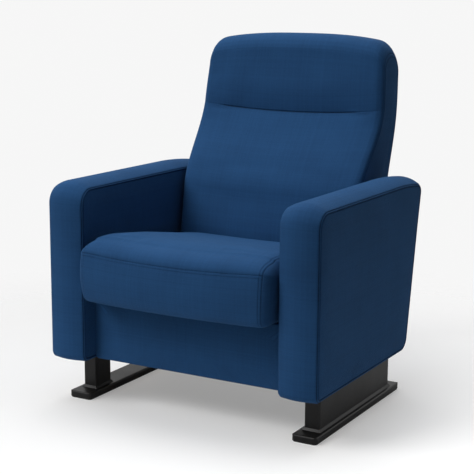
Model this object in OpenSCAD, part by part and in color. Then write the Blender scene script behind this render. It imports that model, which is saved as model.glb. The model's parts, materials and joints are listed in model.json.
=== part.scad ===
// Upholstered cinema seat that pushes back: the backrest hinges and the cushion slides forward with it.
// Sizes are in millimetres, +Z is up and the sitter faces -Y. The origin lies on the floor, midway
// between the four floor bolts. Left and right are as seen from the front.

/* [Arms] */
// Width across the outer faces of the two arms
overall_w = 760; // [740:1:800]
// Thickness of one arm
arm_w = 100; // [98:1:108]
// Distance of the arms' front seams ahead of the origin
arm_front = 290; // [284:1:300]
// Distance of the arms' rear seams behind the origin, at the top
arm_rear = 309; // [300:1:325]
// Height of the arms' undersides
arm_bottom = 118; // [105:1:128]
// Height of the seams along the arms' tops
arm_top = 558; // [540:1:580]
// Rise of the padding between the two top seams
arm_crown = 15; // [6:1:20]
// Bulge of the padding between the front and the rear seams
arm_nose = 6; // [2:1:12]
// Lean of the arms' rear edges, in degrees
arm_rake = 9.5; // [6:0.5:11]
// Corner radius at the top of an arm
arm_top_r = 35; // [25:1:45]
// Corner radius at the bottom rear of an arm
arm_heel_r = 30; // [20:1:40]
// Corner radius at the bottom front of an arm
arm_toe_r = 12; // [8:1:20]
// Rounding across an arm's side seams
arm_edge_r = 9; // [6:1:12]
// Thickness of the cover on an arm's flat sides
cover_t = 3.4; // [2:0.2:5]
// Thickness of the cover with its wadding along an arm's band
arm_wadding = 5.5; // [4.5:0.5:9]
// Thickness of the foam wrapped round an arm's boards
arm_foam_t = 12; // [6:1:16]
// Height above an arm's underside at which the foam starts
arm_foam_start = 36; // [30:1:50]
// Thickness of the inner board, which carries the mechanism
inner_board_t = 24; // [18:1:27]
// Thickness of the outer board
outer_board_t = 8; // [5:1:12]
// Width of the timber rails of an arm's frame
arm_rail_w = 30; // [20:1:40]

/* [Legs] */
// Length of a foot bar
foot_l = 505; // [460:5:540]
// Width of a foot bar
foot_w = 67; // [56:1:80]
// Thickness of a foot bar
foot_t = 16; // [10:1:20]
// Corner radius of a foot bar in plan
foot_corner_r = 10; // [4:1:16]
// Rounding of a foot bar's upper edges
foot_edge_r = 4; // [1:0.5:6]
// Thickness of the rubber sole
sole_t = 2.6; // [1.6:0.2:5]
// Distance of the sole's edge inside the foot bar's edge
sole_inset = 2; // [1:0.5:5]
// Width of a post
post_w = 38; // [32:1:42]
// Depth of a post from front to rear
post_d = 69; // [64:1:80]
// Wall of a post
post_wall = 3; // [2:0.5:4]
// Corner radius of a post
post_r = 4; // [3:0.5:6]
// Distance between the middles of the front and the rear posts, which is the floor bolts' too
post_pitch = 346; // [330:1:360]
// Height of the top of a post
post_top = 250; // [245:1:280]
// Height of the weld collar round the base of a post
collar_h = 6; // [3:0.5:10]
// Width of the weld collar round the base of a post
collar_w = 4; // [2:0.5:5]
// Sheet thickness of the leg shroud
shroud_t = 1.5; // [1:0.25:2.5]
// Diameter of the floor bolts
floor_bolt_d = 10; // [8:1:12]

/* [Apron] */
// Distance of the apron's face behind the arms' front seams
apron_recess = 42; // [36:1:48]
// Height of the apron's lower edge
apron_bottom = 117; // [105:1:128]
// Thickness of the apron's board
apron_t = 12; // [8:1:14]
// Thickness of the apron's cover
apron_cover_t = 3; // [2:0.5:4]
// Gap between the apron and each arm
apron_gap = 2; // [1:0.5:4]
// Corner radius at the bottom of the apron
apron_r = 10; // [4:1:16]
// Gap between the top of the apron and the cushion
apron_top_gap = 4; // [2:0.5:8]

/* [Cushion] */
// Gap between the cushion and each arm
seat_gap = 8; // [6:1:12]
// Distance of the cushion's front corners ahead of the origin
seat_front = 335; // [325:1:345]
// Extra reach of the cushion's front at its middle
seat_bulge = 13; // [4:1:18]
// Gap between the cushion and the backrest at rest
seat_back_gap = 4.5; // [3:0.5:8]
// Height of the cushion's underside
seat_bottom = 285; // [282:1:292]
// Height of the front seam
seat_seam = 408; // [395:1:420]
// Rise of the crown above the seam
seat_crown = 33; // [20:1:40]
// Depth of the rolled front edge
seat_roll = 60; // [40:1:80]
// Fall of the cushion's top towards the rear, in degrees
seat_fall = 7; // [4:0.5:8]
// Radius of the drawn-in ends, top and bottom
seat_end_r = 40; // [20:1:50]
// Corner radius of the cushion in plan
seat_corner_r = 25; // [15:1:35]
// How far the front face pulls in at the seam
seat_tuck = 7; // [3:0.5:10]
// Thickness of the padded cover on the cushion's sides
seat_wall = 22; // [20:1:28]
// Thickness of the padded cover on the cushion's top, below the seam's height
seat_pad = 16; // [12:1:24]
// Size across a box section of the seat frame
seat_bar_w = 25; // [20:1:28]
// Height of a box section of the seat frame
seat_bar_h = 20; // [15:1:25]

/* [Backrest] */
// Gap between the backrest and each arm
back_gap = 14; // [11:1:18]
// Height of the top of the backrest
back_top = 938; // [900:1:980]
// Height of the backrest's padded lower edge
back_bottom = 308; // [305:1:315]
// Distance of the rear face behind the origin, at the height of the pivot
back_rear = 352; // [345:1:360]
// Lean of the backrest, in degrees
back_rake = 9.65; // [7:0.05:12]
// Thickness of the lower half
lumbar_t = 206; // [195:1:212]
// Thickness of the headrest
head_t = 119; // [110:1:130]
// Height at which the lower half begins to thin
lumbar_top = 520; // [500:1:540]
// Height of the headrest's crease
head_seam = 742; // [720:1:770]
// Depth of the headrest's crease
crease_d = 6; // [2:0.5:9]
// Radius of the crease's mouth
crease_r = 7; // [4:0.5:12]
// Bulge of the backrest's face at its middle
back_crown = 9; // [3:1:14]
// Rounding across the backrest's side seams
back_edge_r = 12; // [8:1:14]
// Corner radius of the top in front view
head_corner_r = 65; // [60:1:80]
// Rounding of the top from front to rear
head_round_r = 52; // [45:1:56]
// Thickness of the padded cover on the face
back_pad = 18; // [14:1:24]
// Thickness of the padded cover at the top
head_pad = 22; // [20:1:30]
// Thickness of the cover on the sides
back_side_t = 12; // [10:0.5:13]
// Thickness of the cover's rear wall
back_rear_t = 4; // [2:0.5:5]
// Thickness of the rear panel
panel_t = 8; // [5:0.5:10]
// Height of the rear panel's lower edge
panel_bottom = 190; // [180:1:215]
// Distance of the rear panel's edges inside the backrest's outline
panel_inset = 10; // [6:1:20]
// Size across the backrest frame's box section
back_bar = 25; // [20:1:26]

/* [Mechanism] */
// Distance of the backrest's pivot behind the origin
pivot_y = 235; // [230:1:240]
// Height of the backrest's pivot
pivot_z = 470; // [460:1:480]
// Diameter of the pivot pins
pivot_d = 16; // [12:1:18]
// Wall of the pivot bushes
bush_t = 3; // [2:0.5:4]
// Wall of the bosses round the bushes
boss_t = 5; // [3:0.5:6]
// Angle through which the backrest reclines, in degrees
recline = 12; // [6:1:12]
// Distance from the pivot to the lever pin, which is also the cushion's travel per radian
lever_l = 200; // [196:1:204]
// Angle by which the lever stands behind the pivot at rest, in degrees
lever_lead = 6; // [4:0.5:7]
// Diameter of the lever pins
lever_pin_d = 10; // [8:1:12]
// Diameter of the lever rollers
lever_roller_d = 24; // [20:1:26]
// Thickness of the side plates
side_plate_t = 6; // [4:0.5:7]
// Thickness of the yokes
yoke_t = 12; // [8:1:12]
// Width of a yoke's prongs
prong_w = 12; // [8:1:14]
// Outer diameter of the cross tubes
tube_d = 38; // [32:1:42]
// Wall of the cross tubes
tube_wall = 2.5; // [1.5:0.5:4]
// Height of the cross tubes' middles
tube_z = 190; // [186:1:192]
// Side of the square flanges at the cross tubes' ends
flange_side = 80; // [76:1:84]
// Thickness of the flanges and of the pivot brackets
flange_t = 5; // [4:0.5:7]
// Distance of the rails' outer faces inside the arms' inner faces
rail_clear = 31; // [28:1:33]
// Width of a rail
rail_w = 27; // [26:1:28]
// Thickness of a rail's web and flanges
rail_t = 3; // [2:0.5:4]
// Height of the rails' undersides
rail_z = 222; // [220:1:223]
// Distance of the rails' front ends ahead of the origin
rail_front = 225; // [222:1:230]
// Diameter of the cushion's rollers
roller_d = 25; // [22:1:26]
// Width of the cushion's rollers
roller_w = 16; // [12:1:17]
// Diameter of the rollers' axles
axle_d = 12; // [8:1:14]
// Distance of the front rollers ahead of the origin
front_roller_y = 155; // [150:1:158]
// Distance of the rear rollers behind the origin
rear_roller_y = 95; // [85:1:105]
// Distance of the carriage plates' inner faces inside the arms' inner faces
carriage_clear = 72; // [71:1:76]
// Thickness of the carriage plates
carriage_t = 5; // [4:0.5:5]
// Distance of each return spring from the middle
spring_x = 90; // [60:1:140]
// Mean diameter of the return springs
spring_d = 22; // [18:1:26]
// Diameter of the spring wire
wire_d = 3; // [2:0.5:3.5]
// Working turns of a return spring
spring_turns = 11; // [8:1:14]
// Length of a return spring at rest
spring_l = 116; // [100:1:124]
// Diameter of the springs' guide rods
rod_d = 8; // [6:1:10]

/* [Fits] */
// Gap between pieces that are seated on each other
fit = 0.3; // [0.2:0.05:0.4]
// Radial clearance of a pin that turns
run_fit = 0.06; // [0.03:0.01:0.1]
// Radial clearance of a bolt in its hole
bolt_fit = 0.2; // [0.1:0.05:0.4]
// Clearance of each roller in its rail or yoke
roller_gap = 0.3; // [0.2:0.05:0.5]
// Gap between a roller and its end stop
stop_gap = 0.7; // [0.4:0.1:1.5]

/* [Hidden] */
$fn = 48;

// How far a cut runs past a face
over = 1;
// Smallest radius that a rounded corner keeps
least_r = 1.5;
// Segments of a rounded corner
arc_steps = 5;
// Facets of a hulled outline's ends
hull_fn = 32;

// Places across the seat, as distances from the middle
arm_in = overall_w / 2 - arm_w;
arm_mid = overall_w / 2 - arm_w / 2;
board_in = arm_in + cover_t + fit;
board_out = board_in + inner_board_t;
post_in = board_out + fit;
post_x = post_in + post_w / 2;
outer_board_out = overall_w / 2 - cover_t - fit;
outer_board_in = outer_board_out - outer_board_t;
plate_face = arm_in - flange_t;
rail_x = arm_in - rail_clear;
carriage_x = arm_in - carriage_clear;
foot_top = sole_t + foot_t;
arm_core = arm_wadding + 2 * fit + arm_foam_t;
seat_w = 2 * (arm_in - seat_gap);
back_w = 2 * (arm_in - back_gap);
travel = lever_l * recline * PI / 180;

// Two-dimensional helpers

function unit(v) = v / norm(v);
function inward(p, i) = let (d = unit(p[(i + 1) % len(p)] - p[i])) [-d[1], d[0]];

// A convex outline, listed anticlockwise, with its corners rounded to the radii r
function rounded(p, r) = [
    for (i = [0 : len(p) - 1])
        let (
            a = inward(p, (i + len(p) - 1) % len(p)),
            b = inward(p, i),
            radius = max(r[i], least_r),
            middle = p[i] + (a + b) / (1 + a * b) * radius,
            start = atan2(-a[1], -a[0]),
            turn = acos(min(1, a * b))
        )
        for (k = [0 : arc_steps])
            middle + radius * [cos(start + turn * k / arc_steps), sin(start + turn * k / arc_steps)]
];

function box_outline(x0, x1, y0, y1) = [[x0, y0], [x1, y0], [x1, y1], [x0, y1]];
function round_box(w, d, r) = rounded(box_outline(-w / 2, w / 2, -d / 2, d / 2), [r, r, r, r]);
function arc(c, rx, ry, a0, a1, n) = [
    for (k = [0 : n]) let (a = a0 + (a1 - a0) * k / n) [c[0] + rx * cos(a), c[1] + ry * sin(a)]
];
function even(a, b, n) = [for (k = [0 : n]) a + (b - a) * k / n];
function reversed(list) = [for (k = [len(list) - 1 : -1 : 0]) list[k]];
function ease(t) = let (c = min(1, max(0, t))) c * c * (3 - 2 * c);

// Three-dimensional helpers

// A plate standing across X, from x0 to x1, whose outline is drawn in (y, z)
module across(x0, x1) {
    translate([x0, 0, 0]) rotate([90, 0, 90]) linear_extrude(x1 - x0) children();
}

// A plate standing across Y, from y0 to y1, whose outline is drawn in (x, z)
module through(y0, y1) {
    translate([0, y1, 0]) rotate([90, 0, 0]) linear_extrude(y1 - y0) children();
}

module block(x0, x1, y0, y1, z0, z1) {
    translate([x0, y0, z0]) cube([x1 - x0, y1 - y0, z1 - z0]);
}

module rod_x(x0, x1, y, z, r) {
    translate([x0, y, z]) rotate([0, 90, 0]) cylinder(r = r, h = x1 - x0);
}

module rod_y(x, y0, y1, z, r) {
    translate([x, y1, z]) rotate([90, 0, 0]) cylinder(r = r, h = y1 - y0);
}

module on_side(side) {
    if (side < 0) mirror([1, 0, 0]) children();
    else children();
}

function mean(points) = [for (p = points) 1] * points / len(points);

// A closed skin over rings of equal count, each anticlockwise as seen from +X, in order of rising x,
// with its two ends closed by triangles round a point in their middle
module skin(rings) {
    m = len(rings);
    n = len(rings[0]);
    polyhedron(
        points = [for (ring = rings) each ring, mean(rings[0]), mean(rings[m - 1])],
        faces = concat(
            [for (i = [0 : n - 1]) [i, (i + 1) % n, m * n]],
            [for (i = [0 : n - 1]) [(m - 1) * n + (i + 1) % n, (m - 1) * n + i, m * n + 1]],
            [for (k = [0 : m - 2]) for (i = [0 : n - 1]) let (j = (i + 1) % n)
                [k * n + i, (k + 1) * n + i, (k + 1) * n + j]],
            [for (k = [0 : m - 2]) for (i = [0 : n - 1]) let (j = (i + 1) % n)
                [k * n + i, (k + 1) * n + j, k * n + j]]
        )
    );
}

// How far an outline pulls in at distance a from the middle, where its end is rounded to r
function pull_in(a, half, r) = let (d = min(r, max(0, a - half + r))) r - sqrt(r * r - d * d);

// Distances from the middle for a skin: the rounded end of radius r, then shares of the rest
function end_stations(half, r) = [for (f = [0 : 30 : 90]) half - r * (1 - cos(f))];
function both_ways(list) = concat([for (a = list) -a], [for (k = [len(list) - 2 : -1 : 0]) list[k]]);

// Feet and posts

module foot_bar(side) {
    color("#1b1b1c") on_side(side) difference() {
        intersection() {
            translate([post_x, 0, sole_t]) linear_extrude(foot_t)
                polygon(round_box(foot_w, foot_l, foot_corner_r));
            through(-foot_l / 2, foot_l / 2) translate([post_x, 0]) polygon(foot_section(foot_w));
            across(post_x - foot_w / 2, post_x + foot_w / 2) polygon(foot_section(foot_l));
        }
        floor_bolt_holes(floor_bolt_d / 2);
    }
}

function foot_section(w) =
    rounded(box_outline(-w / 2, w / 2, sole_t, foot_top), [least_r, least_r, foot_edge_r, foot_edge_r]);

module floor_bolt_holes(r) {
    for (end = [-1, 1]) translate([post_x, end * post_pitch / 2, -over])
        cylinder(r = r, h = foot_top + 2 * over);
}

module sole(side) {
    color("#101010") on_side(side) difference() {
        translate([post_x, 0, 0]) linear_extrude(sole_t)
            polygon(round_box(foot_w - 2 * sole_inset, foot_l - 2 * sole_inset, foot_corner_r - sole_inset));
        floor_bolt_holes(floor_bolt_d / 2);
    }
}

// A weld collar that tapers from the base outline of w by d up to the wall
module collar(w, d) {
    intersection() {
        through(-d / 2 - collar_w, d / 2 + collar_w) polygon(collar_section(w));
        across(-w / 2 - collar_w, w / 2 + collar_w) polygon(collar_section(d));
    }
}

function collar_section(w) = [
    [-w / 2 - collar_w, foot_top], [w / 2 + collar_w, foot_top],
    [w / 2, foot_top + collar_h], [-w / 2, foot_top + collar_h]
];

module post(side, end) {
    color("#1e1e20") on_side(side) difference() {
        translate([post_x, end * post_pitch / 2, 0]) difference() {
            union() {
                translate([0, 0, foot_top]) linear_extrude(post_top - foot_top)
                    polygon(round_box(post_w, post_d, post_r));
                if (side < 0) collar(post_w, post_d);
            }
            translate([0, 0, foot_top - over]) linear_extrude(post_top - foot_top + 2 * over)
                polygon(round_box(post_w - 2 * post_wall, post_d - 2 * post_wall, post_r - post_wall));
        }
        flange_bolt_holes(end, post_in - over, post_in + post_wall + over);
    }
}

module right_leg_shroud() {
    w = post_w + 2 * fit;
    d = post_pitch + post_d + 2 * fit;
    color("#1e1e20") translate([post_x, 0, 0]) difference() {
        union() {
            translate([0, 0, foot_top]) linear_extrude(arm_bottom - fit - foot_top)
                polygon(round_box(w + 2 * shroud_t, d + 2 * shroud_t, post_r + fit + shroud_t));
            collar(w + 2 * shroud_t, d + 2 * shroud_t);
        }
        translate([0, 0, foot_top - over]) linear_extrude(arm_bottom)
            polygon(round_box(w, d, post_r + fit));
    }
}

// Arms

// Outline of an arm in (y, z), with each edge moved outwards by its own amount
function arm_outline(front, top, rear, bottom) =
    let (
        z0 = arm_bottom - bottom,
        z1 = arm_top + top,
        lean = tan(arm_rake),
        y1 = arm_rear + rear / cos(arm_rake)
    )
    rounded(
        [
            [-arm_front - front, z0], [y1 - lean * (arm_top - z0), z0],
            [y1 + lean * (z1 - arm_top), z1], [-arm_front - front, z1]
        ],
        [arm_toe_r + front, arm_heel_r + rear, arm_top_r + rear, arm_top_r + front]
    );
function arm_inset(d, bottom) = arm_outline(-d, -d, -d, -bottom);

arm_flat = arm_w / 2 - arm_edge_r;
arm_crown_shares = [0.82, 0.58, 0.3, 0];
arm_hem_share = 0.4;
function arm_stations() = both_ways(
    concat(end_stations(arm_w / 2, arm_edge_r), [for (s = arm_crown_shares) arm_flat * s])
);
function arm_ring(a) =
    let (
        edge = -pull_in(abs(a), arm_w / 2, arm_edge_r),
        puff = 1 - pow(min(1, abs(a) / arm_flat), 2)
    )
    arm_outline(edge + arm_nose * puff, edge + arm_crown * puff, edge + arm_nose * puff,
        edge * arm_hem_share);

module arm_cover(side) {
    color("#24466f") on_side(side) difference() {
        skin([for (a = arm_stations()) [for (p = arm_ring(a)) [arm_mid + a, p[0], p[1]]]]);
        across(arm_in + cover_t, overall_w / 2 - cover_t) polygon(arm_inset(arm_wadding, cover_t));
        post_holes();
        frame_bolt_holes(arm_in - over, arm_in + cover_t + over);
    }
}

module post_holes() {
    for (end = [-1, 1]) translate([post_x, end * post_pitch / 2, arm_bottom - over])
        linear_extrude(post_top - arm_bottom + 2 * over)
            polygon(round_box(post_w + 2 * fit, post_d + 2 * fit, post_r + fit));
}

module arm_foam(side) {
    color("#d9d2a8") on_side(side) difference() {
        across(board_in, outer_board_out) polygon(arm_inset(arm_wadding + fit, cover_t + fit));
        across(board_in - over, outer_board_out + over) polygon(arm_inset(arm_core - fit, cover_t));
        block(board_in - over, outer_board_out + over, -arm_front, arm_rear, 0, arm_bottom + arm_foam_start);
    }
}

module arm_inner_board(side) {
    color("#b9925f") on_side(side) difference() {
        across(board_in, board_out) polygon(arm_inset(arm_core, cover_t + fit));
        frame_bolt_holes(board_in - over, board_out + over);
    }
}

module arm_outer_board(side) {
    color("#b9925f") on_side(side)
        across(outer_board_in, outer_board_out) polygon(arm_inset(arm_core, cover_t + fit));
}

module arm_frame(side) {
    color("#c9a46c") on_side(side) difference() {
        across(board_out + fit, outer_board_in - fit) polygon(arm_inset(arm_core, cover_t + fit));
        across(board_out, outer_board_in)
            polygon(arm_inset(arm_core + arm_rail_w, cover_t + fit + arm_rail_w));
        post_holes();
    }
}

// Cross tubes, pivot brackets and the bolts that hold them to the arms

flange_bolt_d = 8;
bracket_bolt_d = 6;
// Size of a bolt's head as shares of its diameter
head_wide_share = 1.7;
head_high_share = 0.65;
// Least distance of a bolt from its plate's edge, as a share of its diameter
edge_share = 1.6;
// How far a flange bolt runs into its post, and a bracket bolt into its board
bolt_end = 8;
bracket_bolt_l = 18;
flange_bolt_y = post_d / 2 - post_wall - flange_bolt_d;
flange_bolt_z = flange_side / 2 - edge_share * flange_bolt_d;
bracket_w = 60;
bracket_h = 80;
bracket_r = 8;
bracket_bolt_y = bracket_w / 2 - edge_share * bracket_bolt_d;
bracket_bolt_z = bracket_h / 2 - edge_share * bracket_bolt_d;
hub_l = 7;

module flange_bolts_at(end) {
    for (dy = [-1, 1]) for (dz = [-1, 1])
        translate([0, end * post_pitch / 2 + dy * flange_bolt_y, tube_z + dz * flange_bolt_z]) children();
}

module bracket_bolts_at() {
    for (dy = [-1, 1]) for (dz = [-1, 1])
        translate([0, pivot_y + dy * bracket_bolt_y, pivot_z + dz * bracket_bolt_z]) children();
}

module flange_bolt_holes(end, x0, x1) {
    flange_bolts_at(end) rod_x(x0, x1, 0, 0, flange_bolt_d / 2 + bolt_fit);
}

module frame_bolt_holes(x0, x1) {
    for (end = [-1, 1]) flange_bolt_holes(end, x0, x1);
    bracket_bolts_at() rod_x(x0, x1, 0, 0, bracket_bolt_d / 2 + bolt_fit);
}

// A hexagon-headed bolt along X, with its head's seat at x0
module bolt(x0, length, d) {
    rod_x(x0, x0 + length, 0, 0, d / 2);
    translate([x0 - d * head_high_share, 0, 0]) rotate([0, 90, 0])
        cylinder(d = d * head_wide_share, h = d * head_high_share, $fn = 6);
}

module frame_bolts() {
    color("#8d8f92") for (side = [-1, 1]) on_side(side) {
        for (end = [-1, 1]) flange_bolts_at(end)
            bolt(plate_face, post_in + post_wall + bolt_end - plate_face, flange_bolt_d);
        bracket_bolts_at() bolt(plate_face, board_in + bracket_bolt_l - plate_face, bracket_bolt_d);
    }
}

module cross_tube(end) {
    y = end * post_pitch / 2;
    color("#232325") difference() {
        union() {
            rod_x(-plate_face, plate_face, y, tube_z, tube_d / 2);
            for (side = [-1, 1]) on_side(side) across(plate_face, arm_in) translate([y, tube_z])
                polygon(round_box(flange_side, flange_side, bracket_r));
        }
        rod_x(-arm_in - over, arm_in + over, y, tube_z, tube_d / 2 - tube_wall);
        for (side = [-1, 1]) on_side(side) flange_bolt_holes(end, plate_face - over, arm_in + over);
    }
}

module pivot_bracket(side) {
    color("#232325") on_side(side) difference() {
        union() {
            across(plate_face, arm_in) translate([pivot_y, pivot_z])
                polygon(round_box(bracket_w, bracket_h, bracket_r));
            rod_x(plate_face - hub_l, plate_face, pivot_y, pivot_z, pivot_d / 2 + boss_t);
        }
        rod_x(plate_face - hub_l - over, arm_in + over, pivot_y, pivot_z, pivot_d / 2 + run_fit);
        bracket_bolts_at() rod_x(plate_face - over, arm_in + over, 0, 0, bracket_bolt_d / 2 + bolt_fit);
    }
}

// Back side plates and everything at the pivot, as distances from the middle

side_plate_inset = 10;
boss_inset = 2;
side_plate_out = back_w / 2 - back_side_t - side_plate_inset;
side_plate_in = side_plate_out - side_plate_t;
boss_out = back_w / 2 - back_side_t - boss_inset;
boss_l = 24;
boss_in = boss_out - boss_l;
clip_t = 3;
clip_w = 2.5;

module pivot_pins() {
    color("#9a9da0") for (side = [-1, 1]) on_side(side) {
        rod_x(boss_in - fit - clip_t - clip_w, arm_in, pivot_y, pivot_z, pivot_d / 2);
        rod_x(boss_in - fit - clip_t, boss_in - fit, pivot_y, pivot_z, pivot_d / 2 + clip_w);
    }
}

module pivot_bushes() {
    color("#b58a3a") for (side = [-1, 1]) on_side(side) difference() {
        rod_x(boss_in, boss_out, pivot_y, pivot_z, pivot_d / 2 + run_fit + bush_t);
        rod_x(boss_in - over, boss_out + over, pivot_y, pivot_z, pivot_d / 2 + run_fit);
    }
}

// Slide rails, stops and springs

rail_top = rail_z + roller_d + 2 * roller_gap + 2 * rail_t;
rail_in = rail_x - rail_w;
roller_z = rail_z + rail_t + roller_gap + roller_d / 2;
rail_rear = post_pitch / 2 + tube_d / 3;
saddle_lip = 1;
saddle_l = tube_d + 2 * saddle_lip;
stop_l = 14;

module slide_rail(side) {
    color("#8b8e92") on_side(side) difference() {
        union() {
            block(rail_in, rail_x, -rail_front, rail_rear, rail_z, rail_top);
            for (end = [-1, 1]) block(rail_in, rail_x, end * post_pitch / 2 - saddle_l / 2,
                end * post_pitch / 2 + saddle_l / 2, tube_z, rail_z + rail_t / 2);
        }
        block(rail_in - over, rail_x - rail_t, -rail_front - over, rail_rear + saddle_l,
            rail_z + rail_t, rail_top - rail_t);
        for (end = [-1, 1]) rod_x(rail_in - over, rail_x + over, end * post_pitch / 2, tube_z, tube_d / 2);
    }
}

module rail_end_stops() {
    front_face = -front_roller_y - travel - roller_d / 2 - stop_gap;
    rear_face = rear_roller_y + roller_d / 2 + stop_gap;
    color("#161616") for (side = [-1, 1]) on_side(side) {
        block(rail_in + rail_t, rail_x - rail_t, -rail_front, front_face, rail_z + rail_t,
            rail_top - rail_t);
        block(rail_in + rail_t, rail_x - rail_t, rear_face, rear_face + stop_l, rail_z + rail_t,
            rail_top - rail_t);
    }
}

spring_start = -post_pitch / 2 + tube_d / 2;
spring_cup_t = 3;
spring_plate_y = spring_start + spring_cup_t + spring_l + 2 * fit;
spring_plate_t = 5;
rod_end_l = 7;

module spring_guide_rods() {
    color("#9a9da0") for (side = [-1, 1]) {
        rod_y(side * spring_x, spring_start, spring_plate_y + spring_plate_t + fit + rod_end_l,
            tube_z, rod_d / 2);
        rod_y(side * spring_x, spring_start, spring_start + spring_cup_t, tube_z, spring_d / 2 + wire_d);
        rod_y(side * spring_x, spring_plate_y + spring_plate_t + fit,
            spring_plate_y + spring_plate_t + fit + rod_end_l, tube_z, rod_d);
    }
}

// A coil of round wire along Y, as one unbroken tube of hexagonal section
coil_sides = 6;
coil_rings = 8;
function coil_point(t, side) = [
    side * spring_x + spring_d / 2 * cos(360 * t * spring_turns),
    spring_start + spring_cup_t + fit + wire_d / 2 + (spring_l - wire_d) * t,
    tube_z + spring_d / 2 * sin(360 * t * spring_turns)
];
function coil_ring(t, side) =
    let (a = 360 * t * spring_turns, out = [cos(a), 0, sin(a)], along = [0, 1, 0])
    [for (k = [coil_sides - 1 : -1 : 0]) let (f = 360 * k / coil_sides)
        coil_point(t, side) + wire_d / 2 * (out * cos(f) + along * sin(f))];

module return_spring(side) {
    n = coil_rings * spring_turns;
    color("#7f8286") skin([for (k = [0 : n]) coil_ring(k / n, side)]);
}
coil_gap = (spring_l - wire_d) / spring_turns - wire_d;
echo("least gap between the turns of a return spring", coil_gap);

// Apron

apron_face = -arm_front + apron_recess;
apron_top = seat_bottom - apron_top_gap;
apron_half = arm_in - apron_gap;
apron_edge_r = 3;
bracket_leg = 28;
bracket_t = 3;
bracket_angle_h = 36;

module apron_cover() {
    rear = apron_face + apron_cover_t + apron_t;
    color("#1f3c60") difference() {
        intersection() {
            through(apron_face, rear) polygon(rounded(
                box_outline(-apron_half, apron_half, apron_bottom, apron_top),
                [apron_r, apron_r, apron_edge_r, apron_edge_r]));
            across(-apron_half, apron_half) polygon(rounded(
                box_outline(apron_face, rear, apron_bottom, apron_top),
                [apron_edge_r, least_r, least_r, apron_edge_r]));
            translate([0, 0, apron_bottom]) linear_extrude(apron_top - apron_bottom) polygon(rounded(
                box_outline(-apron_half, apron_half, apron_face, rear),
                [apron_edge_r, apron_edge_r, least_r, least_r]));
        }
        apron_core(0, rear + over);
    }
}

module apron_core(gap, rear) {
    r = apron_r - apron_cover_t;
    through(apron_face + apron_cover_t + gap, rear) polygon(rounded(
        box_outline(-apron_half + apron_cover_t + gap, apron_half - apron_cover_t - gap,
            apron_bottom + apron_cover_t + gap, apron_top - apron_cover_t - gap), [r, r, least_r, least_r]));
}

module apron_board() {
    color("#b9925f") apron_core(fit, apron_face + apron_cover_t + apron_t);
}

module apron_brackets() {
    rear = apron_face + apron_cover_t + apron_t;
    z1 = apron_top - apron_cover_t;
    color("#232325") for (side = [-1, 1]) on_side(side) {
        block(arm_in - bracket_leg, arm_in, rear, rear + bracket_t, z1 - bracket_angle_h, z1);
        block(arm_in - bracket_t, arm_in, rear, rear + bracket_leg, z1 - bracket_angle_h, z1);
    }
}

// Cushion

seat_half = seat_w / 2;
seat_rear = front_y(seat_bottom + back_pad) - seat_back_gap;
seat_draw_share = 0.8;
seat_rear_tuck_share = 0.3;
seat_side_power = 2.6;
seat_lift_power = 0.6;
seat_foot_y = 26;
seat_foot_z = 22;
seat_rear_r = 22;
seat_hem_r = 9;
seat_face_shares = [0.84, 0.66, 0.48, 0.32];
seat_inner_shares = [0.78, 0.56, 0.3, 0];
seat_corner_shares = [0.5, 0.75, 1];

function seat_stations() = both_ways(concat(
    end_stations(seat_half, seat_corner_r / 2),
    [for (s = seat_corner_shares) seat_half - seat_corner_r / 2 - (seat_end_r - seat_corner_r / 2) * s],
    [for (s = seat_inner_shares) (seat_half - seat_end_r) * s]
));
// Height of the side seam, level round the rolled front and then falling to the rear
function seam_z(y) = seat_seam - tan(seat_fall) * max(0, y + seat_front - seat_roll);
function seat_ring(a) =
    let (
        u = abs(a) / seat_half,
        nose = pull_in(abs(a), seat_half, seat_corner_r),
        draw = pull_in(abs(a), seat_half, seat_end_r),
        y0 = -seat_front - seat_bulge * (1 - u * u) + nose,
        y1 = seat_rear - nose * seat_rear_tuck_share,
        z0 = seat_bottom + draw * seat_draw_share,
        rise = seat_crown * pow(max(0, 1 - pow(u, seat_side_power)), seat_lift_power),
        roll_y = y0 + seat_tuck + seat_roll,
        lean = tan(back_rake) * (seam_z(y1) + rise - seat_rear_r - seat_bottom - back_pad),
        back_y = y1 + lean - seat_rear_r,
        face = seat_seam - z0
    )
    concat(
        arc([y0 + seat_tuck / 2 + seat_foot_y, z0 + seat_foot_z], seat_foot_y, seat_foot_z, 180, 270, 4),
        arc([y1 - seat_hem_r, z0 + seat_hem_r], seat_hem_r, seat_hem_r, 270, 360, 2),
        arc([back_y, seam_z(back_y) + rise - seat_rear_r], seat_rear_r, seat_rear_r, 0, 90, 4),
        [for (y = even(back_y, roll_y, 5)) if (y < back_y && y > roll_y) [y, seam_z(y) + rise]],
        arc([roll_y, seat_seam], seat_roll, rise, 90, 180, 6),
        [for (t = seat_face_shares) [y0 + seat_tuck * pow(2 * t - 1, 2), z0 + face * t]]
    );

// The space under the padded cover, in (y, z): the frame below and the foam above it
function seat_core(gap, z0) =
    let (
        y0 = -seat_front + seat_wall + seat_tuck / 2 + gap,
        y1 = seat_rear - seat_wall / 2 - gap,
        z1 = seat_seam - seat_pad - gap
    )
    [[y0, z0], [y1, z0], [y1, z1 - tan(seat_fall) * (y1 - y0)], [y0, z1]];
seat_core_half = seat_half - seat_wall;

module seat_cover() {
    color("#27497a") difference() {
        skin([for (a = seat_stations()) [for (p = seat_ring(a)) [a, p[0], p[1]]]]);
        across(-seat_core_half, seat_core_half) polygon(seat_core(0, seat_bottom - over));
    }
}

strap_w = 50;
strap_t = 2;
web_z = seat_bottom + seat_bar_h + fit;
seat_foam_z = web_z + 2 * (strap_t + fit);

module seat_foam() {
    color("#e0d9b0") across(-seat_core_half + fit, seat_core_half - fit)
        polygon(seat_core(fit, seat_foam_z));
}

seat_frame_front = seat_core(fit, 0)[0][0];
seat_frame_rear = seat_core(fit, 0)[1][0];
seat_bar_wall = 2;
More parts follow.
